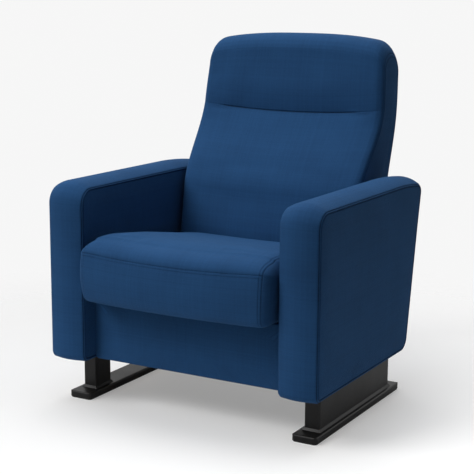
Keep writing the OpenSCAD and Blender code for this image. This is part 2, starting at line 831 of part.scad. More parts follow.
// Middle of the long members, which stand over the carriage plates
seat_bar_x = carriage_x + carriage_t / 2;

module seat_frame() {
    long = seat_frame_rear - seat_frame_front;
    z1 = seat_bottom + seat_bar_h;
    color("#2a2a2c") difference() {
        union() {
            for (y = [seat_frame_front, seat_frame_rear - seat_bar_w])
                block(-seat_core_half + fit, seat_core_half - fit, y, y + seat_bar_w, seat_bottom, z1);
            for (side = [-1, 1])
                block(side * seat_bar_x - seat_bar_w / 2, side * seat_bar_x + seat_bar_w / 2,
                    seat_frame_front + seat_bar_w / 2, seat_frame_rear - seat_bar_w / 2, seat_bottom, z1);
        }
        for (y = [seat_frame_front, seat_frame_rear - seat_bar_w])
            block(-seat_core_half, seat_core_half, y + seat_bar_wall, y + seat_bar_w - seat_bar_wall,
                seat_bottom + seat_bar_wall, z1 - seat_bar_wall);
        for (side = [-1, 1])
            block(side * seat_bar_x - seat_bar_w / 2 + seat_bar_wall,
                side * seat_bar_x + seat_bar_w / 2 - seat_bar_wall,
                seat_frame_front + seat_bar_w, seat_frame_front + long - seat_bar_w,
                seat_bottom + seat_bar_wall, z1 - seat_bar_wall);
    }
}

cross_straps = 4;
long_straps = 4;

module seat_webbing() {
    reach = seat_bar_x + seat_bar_w / 2;
    first = seat_frame_front + seat_bar_w;
    last = seat_frame_rear - seat_bar_w - strap_w;
    color("#3a352c") {
        for (y = even(first, last, cross_straps - 1))
            block(-reach, reach, y, y + strap_w, web_z, web_z + strap_t);
        for (x = even(-reach + strap_w / 2, reach - strap_w * 3 / 2, long_straps - 1))
            block(x, x + strap_w, seat_frame_front, seat_frame_rear,
                web_z + strap_t + fit, web_z + 2 * strap_t + fit);
    }
}

// Carriage under the cushion

carriage_out = carriage_x + carriage_t;
carriage_reach = 28;
carriage_lift = 3;
carriage_front = front_roller_y + carriage_reach;
carriage_rear = seat_frame_rear + seat_rear_r / 2;
carriage_foot = roller_z - roller_d / 2 + carriage_lift;
roller_in = rail_in + (rail_w - rail_t - roller_w) / 2;
shoulder_t = 3;
axle_head_t = 5;
axle_tip = 1.2;

module carriage_plate(side) {
    color("#2a2a2c") on_side(side) difference() {
        across(carriage_x, carriage_out) polygon(rounded(
            box_outline(-carriage_front, carriage_rear, carriage_foot, seat_bottom),
            [bracket_r, bracket_r, least_r, least_r]));
        for (y = [-front_roller_y, rear_roller_y])
            rod_x(carriage_x - over, carriage_out + over, y, roller_z, axle_d / 2 + run_fit);
    }
}

module roller_axles() {
    color("#9a9da0") for (side = [-1, 1]) on_side(side) for (y = [-front_roller_y, rear_roller_y]) {
        rod_x(carriage_x, rail_x - rail_t - axle_tip, y, roller_z, axle_d / 2);
        rod_x(carriage_out + fit, roller_in - fit, y, roller_z, axle_d / 2 + shoulder_t);
        translate([carriage_x - axle_head_t, y, roller_z]) rotate([0, 90, 0])
            cylinder(d = axle_d * head_wide_share, h = axle_head_t, $fn = 6);
    }
}

module roller(side, y) {
    color("#d8d8d2") on_side(side) difference() {
        rod_x(roller_in, roller_in + roller_w, y, roller_z, roller_d / 2);
        rod_x(roller_in - over, roller_in + roller_w + over, y, roller_z, axle_d / 2 + run_fit);
    }
}

bar_w = 25;
bar_h = 20;
bar_wall = 2;
bar_drop = 3;
bar_z1 = seat_bottom - bar_drop;
spring_plate_w = 32;
spring_plate_drop = 18;

module carriage_bar(y) {
    difference() {
        block(-carriage_x, carriage_x, y, y + bar_w, bar_z1 - bar_h, bar_z1);
        block(-carriage_x - over, carriage_x + over, y + bar_wall, y + bar_w - bar_wall,
            bar_z1 - bar_h + bar_wall, bar_z1 - bar_wall);
    }
}

module carriage_bars() {
    mid_y = spring_plate_y + spring_plate_t / 2;
    color("#2a2a2c") {
        carriage_bar(-carriage_front + bar_w / 2);
        carriage_bar(carriage_rear - bar_w * 3 / 2);
        carriage_bar(mid_y - bar_w / 2);
        for (side = [-1, 1]) difference() {
            block(side * spring_x - spring_plate_w / 2, side * spring_x + spring_plate_w / 2,
                spring_plate_y, spring_plate_y + spring_plate_t, tube_z - spring_plate_drop,
                bar_z1 - bar_h + bar_wall / 2);
            rod_y(side * spring_x, spring_plate_y - over, spring_plate_y + spring_plate_t + over, tube_z,
                rod_d / 2 + 2 * fit);
        }
    }
}

// Levers of the backrest and the yokes that they push

lever_y = pivot_y + lever_l * sin(lever_lead);
lever_z = pivot_z - lever_l * cos(lever_lead);
yoke_in = carriage_out + fit;
yoke_out = yoke_in + yoke_t;
slot_half = lever_roller_d / 2 + roller_gap;
yoke_dip = 2;
yoke_h = 22;
yoke_floor_h = 10;
yoke_tip_h = 15;
yoke_lap = 52;

module yoke(side) {
    z0 = lever_z - lever_roller_d / 2 - yoke_dip;
    z1 = seat_bottom - fit;
    arm_z0 = max(z1 - yoke_h, rail_top + fit);
    y0 = lever_y - slot_half - prong_w;
    y1 = lever_y + slot_half + prong_w;
    color("#2a2a2c") on_side(side) difference() {
        across(yoke_in, yoke_out) union() {
            polygon(box_outline(carriage_rear - yoke_lap, y0 + prong_w / 2, arm_z0, z1));
            polygon(rounded(box_outline(y0, y1, z0 - yoke_floor_h, lever_z + yoke_tip_h),
                [bracket_r, bracket_r, least_r, least_r]));
        }
        block(yoke_in - over, yoke_out + over, lever_y - slot_half, lever_y + slot_half, z0,
            lever_z + yoke_tip_h + over);
    }
}

pin_head_t = 3;
pin_head_w = 3;

module lever_pins() {
    color("#9a9da0") for (side = [-1, 1]) on_side(side) {
        rod_x(yoke_in - clip_t - fit, side_plate_out + fit + pin_head_t, lever_y, lever_z, lever_pin_d / 2);
        rod_x(side_plate_out + fit, side_plate_out + fit + pin_head_t, lever_y, lever_z,
            lever_pin_d / 2 + pin_head_w);
    }
}

module lever_rollers() {
    color("#d8d8d2") for (side = [-1, 1]) on_side(side) difference() {
        rod_x(yoke_in - fit, yoke_out + fit, lever_y, lever_z, lever_roller_d / 2);
        rod_x(yoke_in - over, yoke_out + over, lever_y, lever_z, lever_pin_d / 2 + run_fit);
    }
}

// Backrest

back_half = back_w / 2;
function rear_y(z) = back_rear + tan(back_rake) * (z - pivot_z);
function back_thick(z) = head_t + (lumbar_t - head_t) * ease((head_seam - z) / (head_seam - lumbar_top));
function front_y(z) = rear_y(z) - back_thick(z);
function rear_at(z, d) = rear_y(z) - d / cos(back_rake);

head_puff = 5;
head_puff_z = 48;
head_puff_r = 34;
crown_start = 60;
back_hem_r = 14;
head_width_share = 0.47;
head_corner_shares = [0.3, 0.52, 0.76, 1];
back_inner_shares = [0.72, 0.44, 0.2, 0];
back_bump_shares = [2, 0.9, 0];
crease_reach_share = 3;

function back_stations() = both_ways(concat(
    end_stations(back_half, back_edge_r),
    [for (s = head_corner_shares) back_half - back_edge_r - (head_corner_r - back_edge_r) * s],
    [for (s = back_inner_shares) (back_half - head_corner_r) * s]
));
function bell(d, r) = exp(-d * d / (r * r));
// Face of the padding at height z and at share u of the half width
function face_y(z, u) = front_y(z)
    - back_crown * (1 - u * u) * ease((z - back_bottom - crown_start) / crown_start)
    - head_puff * (1 - u * u) * bell(z - head_seam - head_puff_z, head_puff_r)
    + crease_d * (1 - pow(u, 4)) * bell(z - head_seam, crease_r);
// A ring of the backrest's skin below the crease, or of the headrest's above it
function back_ring(a, upper) =
    let (
        u = abs(a) / back_half,
        edge = pull_in(abs(a), back_half, back_edge_r),
        top = back_top - pull_in(abs(a), back_half, head_corner_r),
        wide = rear_at(top, panel_t) - front_y(top) - 2 * edge,
        r = min(head_round_r, wide * head_width_share),
        z1 = top - r,
        z0 = back_bottom,
        y0 = front_y(z0 + back_hem_r) + edge,
        y1 = rear_at(z0, panel_t) - edge,
        head_z = head_seam + crease_reach_share * crease_r,
        split = head_seam + (upper ? fit : -fit) / 2
    )
    upper ? concat(
        [for (z = even(split, z1, 2)) if (z < z1) [rear_at(z, panel_t) - edge, z]],
        arc([rear_at(z1, panel_t) - edge - r, z1], r, r, 0, 90, 5),
        arc([face_y(z1, u) + edge + r, z1], r, r, 90, 180, 5),
        [for (z = even(z1, head_z, 3)) if (z < z1) [face_y(z, u) + edge, z]],
        [for (s = back_bump_shares) let (z = split + s * crease_r) [face_y(z, u) + edge, z]]
    ) : concat(
        arc([y0 + back_hem_r, z0 + back_hem_r], back_hem_r, back_hem_r, 180, 270, 3),
        [for (z = even(z0, split, 2)) [rear_at(z, panel_t) - edge, z]],
        [for (s = reversed(back_bump_shares)) let (z = split - s * crease_r) [face_y(z, u) + edge, z]],
        [for (z = even(2 * head_seam - head_z, z0 + 2 * back_hem_r, 9)) [face_y(z, u) + edge, z]]
    );

// The space inside the backrest's cover, cut back under the rounding of the top
head_taper_share = 1.5;
head_cut_share = 0.66;
module back_core(gap) {
    half = back_half - back_side_t - gap;
    top = back_top - head_pad - gap;
    r = head_corner_r - back_side_t;
    depth = panel_t + back_rear_t + gap;
    intersection() {
        across(-half, half) polygon(concat(
            [[rear_at(back_bottom - over, depth), back_bottom - over],
                [rear_at(back_top - head_round_r * head_taper_share, depth),
                    back_top - head_round_r * head_taper_share],
                [rear_at(top, depth + head_round_r * head_cut_share), top]],
            [for (z = even(top, back_bottom - over, 16)) [front_y(z) + back_pad + gap, z]]));
        through(-arm_front, back_rear + back_top) polygon(rounded(
            box_outline(-half, half, back_bottom - 2 * over, top), [least_r, least_r, r, r]));
    }
}

module back_skin(upper) {
    skin([for (a = back_stations()) [for (p = back_ring(a, upper)) [a, p[0], p[1]]]]);
}

module back_cover() {
    color("#27497a") difference() {
        back_skin(false);
        back_core(0);
        rod_x(-back_half - over, back_half + over, pivot_y, pivot_z, pivot_d / 2 + boss_t);
    }
}

module headrest_cover() {
    color("#27497a") difference() {
        back_skin(true);
        back_core(0);
    }
}

// Place of something d in front of the rear face and s up along it from the pivot's height
module along_back() {
    translate([0, back_rear, pivot_z]) rotate([-back_rake, 0, 0]) children();
}
function up_back(z) = (z - pivot_z) / cos(back_rake);

bar_rear = panel_t + back_rear_t + fit;
bar_front = bar_rear + back_bar;
web_front = bar_front + fit + strap_t;
frame_bar_out = side_plate_in - fit;
frame_bar_in = frame_bar_out - back_bar;
frame_lift = 4;
frame_foot = up_back(back_bottom) + frame_lift;
frame_head = up_back(back_top - head_round_r * head_taper_share) - bar_rear * tan(back_rake) - fit;
frame_bar_wall = 2;
upper_bar_share = 0.7;
// How far up the backrest each cross member of its frame starts
frame_bar_places = [frame_foot, 0, frame_head * upper_bar_share, frame_head - back_bar];

module back_frame() {
    color("#2a2a2c") along_back() difference() {
        union() {
            for (side = [-1, 1]) on_side(side)
                block(frame_bar_in, frame_bar_out, -bar_front, -bar_rear, frame_foot, frame_head);
            for (s = frame_bar_places)
                block(-frame_bar_in - back_bar / 2, frame_bar_in + back_bar / 2, -bar_front, -bar_rear,
                    s, s + back_bar);
        }
        for (side = [-1, 1]) on_side(side)
            block(frame_bar_in + frame_bar_wall, frame_bar_out - frame_bar_wall, -bar_front + frame_bar_wall,
                -bar_rear - frame_bar_wall, frame_foot - over, frame_head + over);
        for (s = frame_bar_places)
            block(-frame_bar_in, frame_bar_in, -bar_front + frame_bar_wall, -bar_rear - frame_bar_wall,
                s + frame_bar_wall, s + back_bar - frame_bar_wall);
    }
}

back_straps = 7;

module back_webbing() {
    first = frame_foot + back_bar;
    last = frame_bar_places[2] - strap_w;
    color("#3a352c") along_back() for (s = even(first, last, back_straps - 1))
        block(-frame_bar_out, frame_bar_out, -web_front, -bar_front - fit, s, s + strap_w);
}

// Foam between heights z0 and z1, cut away beside the side plates
module back_foam_piece(z0, z1) {
    notch_x = boss_in - 2 * clip_t - clip_w;
    color("#e0d9b0") difference() {
        intersection() {
            back_core(fit);
            across(-back_half, back_half) polygon(concat(
                [[rear_at(z0, web_front + fit), z0], [rear_at(z1, web_front + fit), z1]],
                [[front_y(head_seam) - lumbar_t, z1], [front_y(z0) - lumbar_t, z0]]));
        }
        for (side = [-1, 1]) on_side(side)
            block(notch_x, back_half, -arm_front, back_rear, 0, arm_top + arm_crown);
    }
}

module back_foam() {
    back_foam_piece(back_bottom + fit, head_seam - fit);
}

module headrest_foam() {
    back_foam_piece(head_seam, back_top);
}

panel_corner_r = 40;

module back_rear_panel() {
    half = back_half - panel_inset;
    top = up_back(back_top - head_round_r) - panel_inset;
    color("#1f3c60") along_back() through(-panel_t + fit / 2, 0) polygon(rounded(
        box_outline(-half, half, up_back(panel_bottom), top),
        [panel_inset, panel_inset, panel_corner_r, panel_corner_r]));
}

pivot_eye_r = pivot_d / 2 + bush_t + run_fit + boss_t;
lever_eye_t = 10;
lever_eye_r = lever_pin_d / 2 + lever_eye_t;
plate_strip_w = 26;
plate_head_z = 540;
plate_foot_z = 206;

// Middle line of the plate's rear edge strip, at height z
function strip_y(z) = rear_at(z, bar_rear + plate_strip_w / 2);

module eye(y, z, r) {
    translate([y, z]) circle(r = r, $fn = hull_fn);
}

module side_plate(side) {
    strip_r = plate_strip_w / 2;
    color("#2a2a2c") on_side(side) difference() {
        union() {
            across(side_plate_in, side_plate_out) {
                hull() {
                    eye(strip_y(plate_head_z), plate_head_z, strip_r);
                    eye(strip_y(pivot_z), pivot_z, strip_r);
                    eye(pivot_y, pivot_z, pivot_eye_r + boss_t);
                }
                hull() {
                    eye(strip_y(plate_head_z), plate_head_z, strip_r);
                    eye(strip_y(plate_foot_z + strip_r), plate_foot_z + strip_r, strip_r);
                }
                hull() {
                    eye(pivot_y, pivot_z, pivot_eye_r + boss_t);
                    eye(lever_y, lever_z, lever_eye_r);
                }
                hull() {
                    eye(lever_y, lever_z, lever_eye_r);
                    eye(strip_y(lever_z), lever_z, strip_r);
                }
            }
            rod_x(boss_in, boss_out, pivot_y, pivot_z, pivot_eye_r);
        }
        rod_x(boss_in - over, boss_out + over, pivot_y, pivot_z, pivot_d / 2 + run_fit + bush_t);
        rod_x(side_plate_in - over, side_plate_out + over, lever_y, lever_z, lever_pin_d / 2 + run_fit);
    }
}

foot_bar(-1);  // left_foot_bar
foot_bar(1);  // right_foot_bar
sole(-1);  // left_sole
sole(1);  // right_sole
post(-1, -1);  // left_front_post
post(-1, 1);  // left_rear_post
post(1, -1);  // right_front_post
post(1, 1);  // right_rear_post
right_leg_shroud();
arm_frame(-1);  // left_arm_frame
arm_inner_board(-1);  // left_arm_inner_board
arm_outer_board(-1);  // left_arm_outer_board
arm_foam(-1);  // left_arm_foam
arm_cover(-1);  // left_arm_cover
arm_frame(1);  // right_arm_frame
arm_inner_board(1);  // right_arm_inner_board
arm_outer_board(1);  // right_arm_outer_board
arm_foam(1);  // right_arm_foam
arm_cover(1);  // right_arm_cover
cross_tube(-1);  // front_cross_tube
cross_tube(1);  // rear_cross_tube
frame_bolts();
slide_rail(-1);  // left_slide_rail
slide_rail(1);  // right_slide_rail
rail_end_stops();
pivot_bracket(-1);  // left_pivot_bracket
pivot_bracket(1);  // right_pivot_bracket
pivot_pins();
spring_guide_rods();
return_spring(-1);  // left_return_spring
return_spring(1);  // right_return_spring
apron_board();
apron_cover();
apron_brackets();
seat_cover();
seat_foam();
seat_frame();
seat_webbing();
carriage_plate(-1);  // left_carriage_plate
carriage_plate(1);  // right_carriage_plate
carriage_bars();
roller_axles();
yoke(-1);  // left_yoke
yoke(1);  // right_yoke
roller(-1, -front_roller_y);  // front_left_roller
roller(1, -front_roller_y);  // front_right_roller
roller(-1, rear_roller_y);  // rear_left_roller
roller(1, rear_roller_y);  // rear_right_roller
back_cover();
headrest_cover();
back_foam();
headrest_foam();
back_frame();
back_webbing();
back_rear_panel();
side_plate(-1);  // left_side_plate
side_plate(1);  // right_side_plate
pivot_bushes();
lever_pins();
lever_rollers();
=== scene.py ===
import json
import math

import bpy
import numpy as np
from mathutils import Matrix, Vector


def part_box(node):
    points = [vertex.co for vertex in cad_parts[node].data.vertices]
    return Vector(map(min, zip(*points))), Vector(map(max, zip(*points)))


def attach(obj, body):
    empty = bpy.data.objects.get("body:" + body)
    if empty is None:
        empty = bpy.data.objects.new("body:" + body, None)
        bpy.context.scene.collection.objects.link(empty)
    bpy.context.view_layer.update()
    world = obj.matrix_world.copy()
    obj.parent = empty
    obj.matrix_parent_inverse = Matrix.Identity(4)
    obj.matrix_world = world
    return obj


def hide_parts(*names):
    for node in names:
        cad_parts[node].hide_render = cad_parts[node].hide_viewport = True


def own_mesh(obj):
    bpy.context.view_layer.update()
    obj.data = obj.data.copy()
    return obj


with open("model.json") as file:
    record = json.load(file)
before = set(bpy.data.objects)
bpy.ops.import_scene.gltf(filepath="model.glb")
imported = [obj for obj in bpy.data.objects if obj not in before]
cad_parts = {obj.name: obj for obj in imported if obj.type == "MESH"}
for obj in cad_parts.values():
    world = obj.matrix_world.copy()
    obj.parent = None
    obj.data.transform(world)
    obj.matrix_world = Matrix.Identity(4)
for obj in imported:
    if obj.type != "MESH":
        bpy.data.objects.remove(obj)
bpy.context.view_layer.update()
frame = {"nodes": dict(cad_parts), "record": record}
nodes = frame["nodes"]
scene = bpy.context.scene
mm = 0.001
print("frame loaded", len(nodes), "nodes")


# Camera, at the photograph's viewing angle

cameraPlace = {"lens": 94.24, "sensor": 36.0, "at": (1.5655, -2.7527, 1.0456),
               "yaw": 29.6325, "down": 11.1309, "roll": 0.3316, "clip": (0.05, 100)}


def linked(thing):
    scene.collection.objects.link(thing)
    return thing


def makeCamera(place):
    yaw, down, roll = (math.radians(place[k]) for k in ("yaw", "down", "roll"))
    forward = Vector((-math.sin(yaw) * math.cos(down), math.cos(yaw) * math.cos(down), -math.sin(down)))
    right = Vector((math.cos(yaw), math.sin(yaw), 0))
    up = right.cross(forward)
    tiltedRight = right * math.cos(roll) + up * math.sin(roll)
    tiltedUp = up * math.cos(roll) - right * math.sin(roll)
    data = bpy.data.cameras.new("camera")
    data.lens, data.sensor_width = place["lens"], place["sensor"]
    data.clip_start, data.clip_end = place["clip"]
    camera = linked(bpy.data.objects.new("camera", data))
    turn = Matrix((tiltedRight, tiltedUp, -forward)).transposed().to_4x4()
    camera.matrix_world = Matrix.Translation(place["at"]) @ turn
    scene.camera = camera


makeCamera(cameraPlace)
scene.view_settings.view_transform = "Standard"
print("camera set")


# Meshes from arrays, with their points in millimetres

def meshObject(name, points, faces, smooth=True):
    mesh = bpy.data.meshes.new(name)
    mesh.from_pydata((np.asarray(points, float) * mm).tolist(), [], faces, shade_flat=not smooth)
    mesh.update()
    return linked(bpy.data.objects.new(name, mesh))


def copyOf(piece, name):
    copied = piece.copy()
    copied.data = piece.data.copy()
    copied.name = name
    return linked(copied)


def perVertex(items, key):
    flat = np.empty(len(items) * 3, np.float32)
    items.foreach_get(key, flat)
    return flat.reshape(-1, 3).astype(float)


def coordinates(mesh):
    return perVertex(mesh.vertices, "co")


def vertexNormals(mesh):
    return perVertex(mesh.vertex_normals, "vector")


def setCoordinates(mesh, points):
    mesh.vertices.foreach_set("co", np.asarray(points, np.float32).ravel())
    mesh.update()


def setClothMap(piece, places):  # one place for each corner of each face, in millimetres of cloth
    layer = piece.data.uv_layers.new(name="cloth")
    layer.data.foreach_set("uv", (places * mm).astype(np.float32).ravel())


def unit(vectors):
    return vectors / np.linalg.norm(vectors, axis=1, keepdims=True)


def squareTo(out, along):
    # the directions out, turned square to the directions along
    return unit(out - (out * along).sum(1, keepdims=True) * along)


def running(steps):
    return np.concatenate([[0], np.cumsum(steps)])


def distances(points, axis=0):
    return np.linalg.norm(np.diff(points, axis=axis), axis=-1)


def closedLengths(points):
    return running(distances(np.vstack([points, points[:1]])))


def ringFaces(m, n, closed=False):
    # Quads between m rings of n points each, with the ring and the place of each quad
    k, j = np.meshgrid(np.arange(m if closed else m - 1), np.arange(n), indexing="ij")
    kNext, jNext = (k + 1) % m, (j + 1) % n
    return k, j, np.stack([k * n + j, k * n + jNext, kNext * n + jNext, kNext * n + j], -1).reshape(-1, 4)


def ringMap(k, j, along, around):
    # Cloth places of those quads' corners, from the lengths along the rings and around them
    return np.stack([along[np.stack([k, k, k + 1, k + 1], -1)], around[np.stack([j, j + 1, j + 1, j], -1)]],
                    -1).reshape(-1, 2)


def coonsInterior(ring, p, q):
    # A patch stretched over a closed ring of four sides: each point is the sum of the blends between
    # the two pairs of opposite sides, less the blend of the four corners
    u = np.linspace(0, 1, p + 1)[None, :, None]
    v = np.linspace(0, 1, q + 1)[:, None, None]
    low, right = ring[:p + 1], ring[p:p + q + 1]
    high, left = ring[p + q:2 * p + q + 1][::-1], np.vstack([ring[2 * p + q:], ring[:1]])[::-1]
    patch = ((1 - v) * low[None] + v * high[None] + (1 - u) * left[:, None] + u * right[:, None]
             - (1 - u) * (1 - v) * low[0] - u * (1 - v) * low[-1] - (1 - u) * v * high[0] - u * v * high[-1])
    return patch[1:-1, 1:-1]


def pillow(name, rings, p, q):
    # A closed form: rings of 2(p+q) points at stations in turn, joined ring to ring, with a patch over
    # each end
    m, n = rings.shape[:2]
    k, j, sides = ringFaces(m, n)
    ends, extra, start = [], [], m * n
    for station, flip in ((0, True), (m - 1, False)):
        grid = np.empty((q + 1, p + 1), int)
        base = station * n
        grid[0, :] = base + np.arange(p + 1)
        grid[:, p] = base + p + np.arange(q + 1)
        grid[q, ::-1] = base + p + q + np.arange(p + 1)
        grid[::-1, 0] = base + (2 * p + q + np.arange(q + 1)) % n
        grid[1:-1, 1:-1] = start + np.arange((p - 1) * (q - 1)).reshape(q - 1, p - 1)
        quads = np.stack([grid[:-1, :-1], grid[:-1, 1:], grid[1:, 1:], grid[1:, :-1]], -1).reshape(-1, 4)
        ends.append(quads[:, ::-1] if flip else quads)
        extra.append(coonsInterior(rings[station], p, q).reshape(-1, 3))
        start += (p - 1) * (q - 1)
    points, ends = np.vstack([rings.reshape(-1, 3), *extra]), np.vstack(ends)
    piece = meshObject(name, points, np.vstack([sides, ends]).tolist())
    # the cloth map goes round the form on the band, and lies flat in (y, z) on the two ends
    along, around = running(distances(rings).max(1)), closedLengths(rings[m // 2])
    setClothMap(piece, np.vstack([ringMap(k, j, along, around), points[ends.reshape(-1)][:, 1:]]))
    return piece


def loft(name, rings):
    # a closed solid through rings of equal count, with a flat face at each end
    m, n = rings.shape[:2]
    ends = [list(range(n))[::-1], list(range((m - 1) * n, m * n))]
    return meshObject(name, rings.reshape(-1, 3), ringFaces(m, n)[2].tolist() + ends, False)


def prism(name, x0, x1, outline):
    # a closed solid from an outline in (y, z), anticlockwise as seen from +X
    flat = np.asarray(outline, float)
    return loft(name, np.stack([np.insert(flat, 0, x, 1) for x in (x0, x1)]))


def boxSolid(name, low, high):
    (x0, y0, z0), (x1, y1, z1) = low, high
    return prism(name, x0, x1, [(y0, z0), (y1, z0), (y1, z1), (y0, z1)])


def sweep(name, path, out, section, closed=False):
    # A section (across, out) carried along a path of points, turned to face the out directions
    m, k = len(path), len(section)
    along = unit(np.roll(path, -1, 0) - np.roll(path, 1, 0) if closed else np.gradient(path, axis=0))
    out = squareTo(out, along)
    across = np.cross(out, along)
    points = path[:, None] + section[None, :, :1] * across[:, None] + section[None, :, 1:] * out[:, None]
    i, j, quads = ringFaces(m, k, closed)
    ends = [] if closed else [list(range(k))[::-1], list(range((m - 1) * k, m * k))]
    piece = meshObject(name, points.reshape(-1, 3), quads.tolist() + ends)
    places = np.zeros((len(piece.data.loops), 2))
    places[:quads.size] = ringMap(i, j, closedLengths(path), closedLengths(section))
    setClothMap(piece, places)
    return piece


def roundSection(radius, count):
    angle = np.arange(count) * 2 * math.pi / count
    return np.stack([radius * np.cos(angle), radius * np.sin(angle)], 1)


def flatSection(width, thick, steps=4):
    # a flat strap's section: straight faces and round edges
    turn = np.linspace(-90, 90, steps + 1) * math.pi / 180
    r = thick / 2
    right = np.stack([width / 2 - r + r * np.cos(turn), r * np.sin(turn)], 1)
    return np.vstack([right, -right])


def join(name, pieces):
    with bpy.context.temp_override(active_object=pieces[0], selected_editable_objects=pieces,
                                   selected_objects=pieces):
        bpy.ops.object.join()
    pieces[0].name = name
    return pieces[0]


# Outlines and section curves

def easeIn(x):
    c = np.clip(x, 0, 1)
    return c * c * (3 - 2 * c)


def pullIn(a, half, r):
    # how far a quarter round of radius r draws in towards the end of a half width
    d = np.clip(a - half + r, 0, r)
    return r - np.sqrt(r * r - d * d)


def arcPoints(cy, cz, ry, rz, degrees):
    angle = np.radians(degrees)[None, :]
    return np.stack(np.broadcast_arrays(cy + ry * np.cos(angle), cz + rz * np.sin(angle)), -1)


def onwards(a, b, count):
    # places in equal steps from a to b, without a itself
    return a + (b - a) * np.linspace(0, 1, count + 1)[None, 1:]


def linePoints(y0, z0, y1, z1, count):
    return np.stack(np.broadcast_arrays(onwards(y0, y1, count), onwards(z0, z1, count)), -1)


def nearest(places, value):
    return int(np.argmin(abs(places - value)))


fineSteps = np.array([0.45, 1.0, 1.7, 2.6, 3.4])  # beside a seam


def stops(reach, spacing, seams, clear=1.25):
    # Places from -reach to reach, about spacing apart, and closer together beside each seam
    places = np.linspace(-reach, reach, int(round(2 * reach / spacing)) + 1)
    for seam in seams:
        places = places[abs(places - seam) > fineSteps[-1] * clear]
        places = np.concatenate([places, [seam], seam + fineSteps, seam - fineSteps])
    return np.unique(np.clip(places, -reach, reach).round(4))


def insetOutline(corners, radii, inset, arcSteps, straightSteps, leastRadius=1.5):
    # Outline of a convex shape moved in by each inset, its corners rounded, as (insets, points, 2), with
    # the outward normal of each point. It starts half-way round the first corner
    corners = np.asarray(corners, float)
    edges = unit(np.roll(corners, -1, 0) - corners)
    outward = np.stack([edges[:, 1], -edges[:, 0]], 1)
    before = np.roll(outward, 1, 0)
    mitre = (before + outward) / (1 + (before * outward).sum(1, keepdims=True))
    inset = np.atleast_1d(inset)[:, None, None]
    radius = np.maximum(np.asarray(radii, float)[None, :, None] - inset, np.maximum(leastRadius, inset / 2))
    centre = corners[None] - (inset + radius) * mitre[None]
    turnStart = np.arctan2(before[:, 1], before[:, 0])
    turn = np.arccos(np.clip((before * outward).sum(1), -1, 1))

    def arc(i, shares):
        angle = turnStart[i] + turn[i] * shares
        direction = np.stack([np.cos(angle), np.sin(angle)], 1)
        return centre[:, i:i + 1] + radius[:, i:i + 1] * direction[None], direction

    points, normals = [], []
    for i, steps in enumerate(straightSteps):
        first, firstNormals = arc(i, np.linspace(0.5, 1, arcSteps + 1))
        last, lastNormals = arc((i + 1) % 4, np.linspace(0, 0.5, arcSteps + 1))
        share = np.linspace(0, 1, steps + 1)[1:-1][None, :, None]
        straight = first[:, -1:] + (last[:, :1] - first[:, -1:]) * share
        points += [first, straight, last[:, :-1]]
        normals += [firstNormals, np.repeat(outward[i:i + 1], steps - 1, 0), lastNormals[:-1]]
    return np.concatenate(points, 1), np.vstack(normals)


# Materials: node trees written as sums of their nodes' outputs

class shaderValue:
    def __init__(self, output):
        self.output = output

    def math(self, operation, *others):
        inputs = dict(enumerate((self, *others)))
        return result(self.output.id_data, "Math", inputs, operation=operation)

    def __add__(self, other):
        return self.math("ADD", other)

    def __sub__(self, other):
        return self.math("SUBTRACT", other)

    def __mul__(self, other):
        return self.math("MULTIPLY", other)


def feed(target, inputs):
    # sets a node's inputs: a number or a colour as it is, and another node's output by a link
    for key, value in inputs.items():
        if isinstance(value, shaderValue):
            target.id_data.links.new(value.output, target.inputs[key])
        else:
            target.inputs[key].default_value = value


def node(tree, kind, inputs, **settings):
    made = tree.nodes.new("ShaderNode" + kind)
    for key, value in settings.items():
        setattr(made, key, value)
    feed(made, inputs)
    return made


def result(tree, kind, inputs, output=0, **settings):
    return shaderValue(node(tree, kind, inputs, **settings).outputs[output])


def newMaterial(name, inputs):
    material = bpy.data.materials.new(name)
    material.use_nodes = True
    shader = material.node_tree.nodes["Principled BSDF"]
    feed(shader, inputs)
    return material, shader, result(material.node_tree, "TexCoord", {}, "Object")


def ramp(factor, tones):
    made = node(factor.output.id_data, "ValToRGB", {0: factor})
    elements = made.color_ramp.elements
    while len(elements) < len(tones):
        elements.new(0.5)
    for element, (place, colour) in zip(elements, tones):
        element.position = place
        element.color = (*colour, 1)
    return shaderValue(made.outputs[0])


def tinted(colour, share, lift=0.0):
    return tuple(c * share + lift for c in colour)


def noise(place, scale, detail, roughness, stretch=None):
    tree = place.output.id_data
    if stretch:
        place = result(tree, "Mapping", {"Vector": place, "Scale": stretch})
    return result(tree, "TexNoise",
                  {"Vector": place, "Scale": scale, "Detail": detail, "Roughness": roughness})


def cells(place, scale, output):
    return result(place.output.id_data, "TexVoronoi", {"Vector": place, "Scale": scale}, output)


def surface(shader, colour, relief, distance, strength, rough=None):
    # a material's colour, its relief and, unless it is plain, its roughness
    normal = result(shader.id_data, "Bump",
                    {"Height": relief, "Distance": distance, "Strength": strength})
    feed(shader, {"Base Color": colour, "Normal": normal})
    if rough:
        feed(shader, {"Roughness": rough})


def clothPlaces(tree):
    # the two places on the cloth map
    uv = result(tree, "UVMap", {}, uv_map="cloth")
    split = node(tree, "SeparateXYZ", {0: uv})
    return shaderValue(split.outputs[0]), shaderValue(split.outputs[1])


# seams: how strongly the painted shade darkens the cloth in and beside its seam grooves
weave = {"yarn": 0.0013, "along": 0.6, "weave": 0.55, "yarns": 0.2, "fibres": 0.3, "patches": 0.3,
         "level": 0.22, "seams": 0.75, "fibreNoise": (900, 3, 0.7), "patchNoise": (9, 3, 0.6),
         "relief": (0.00035, 0.55)}


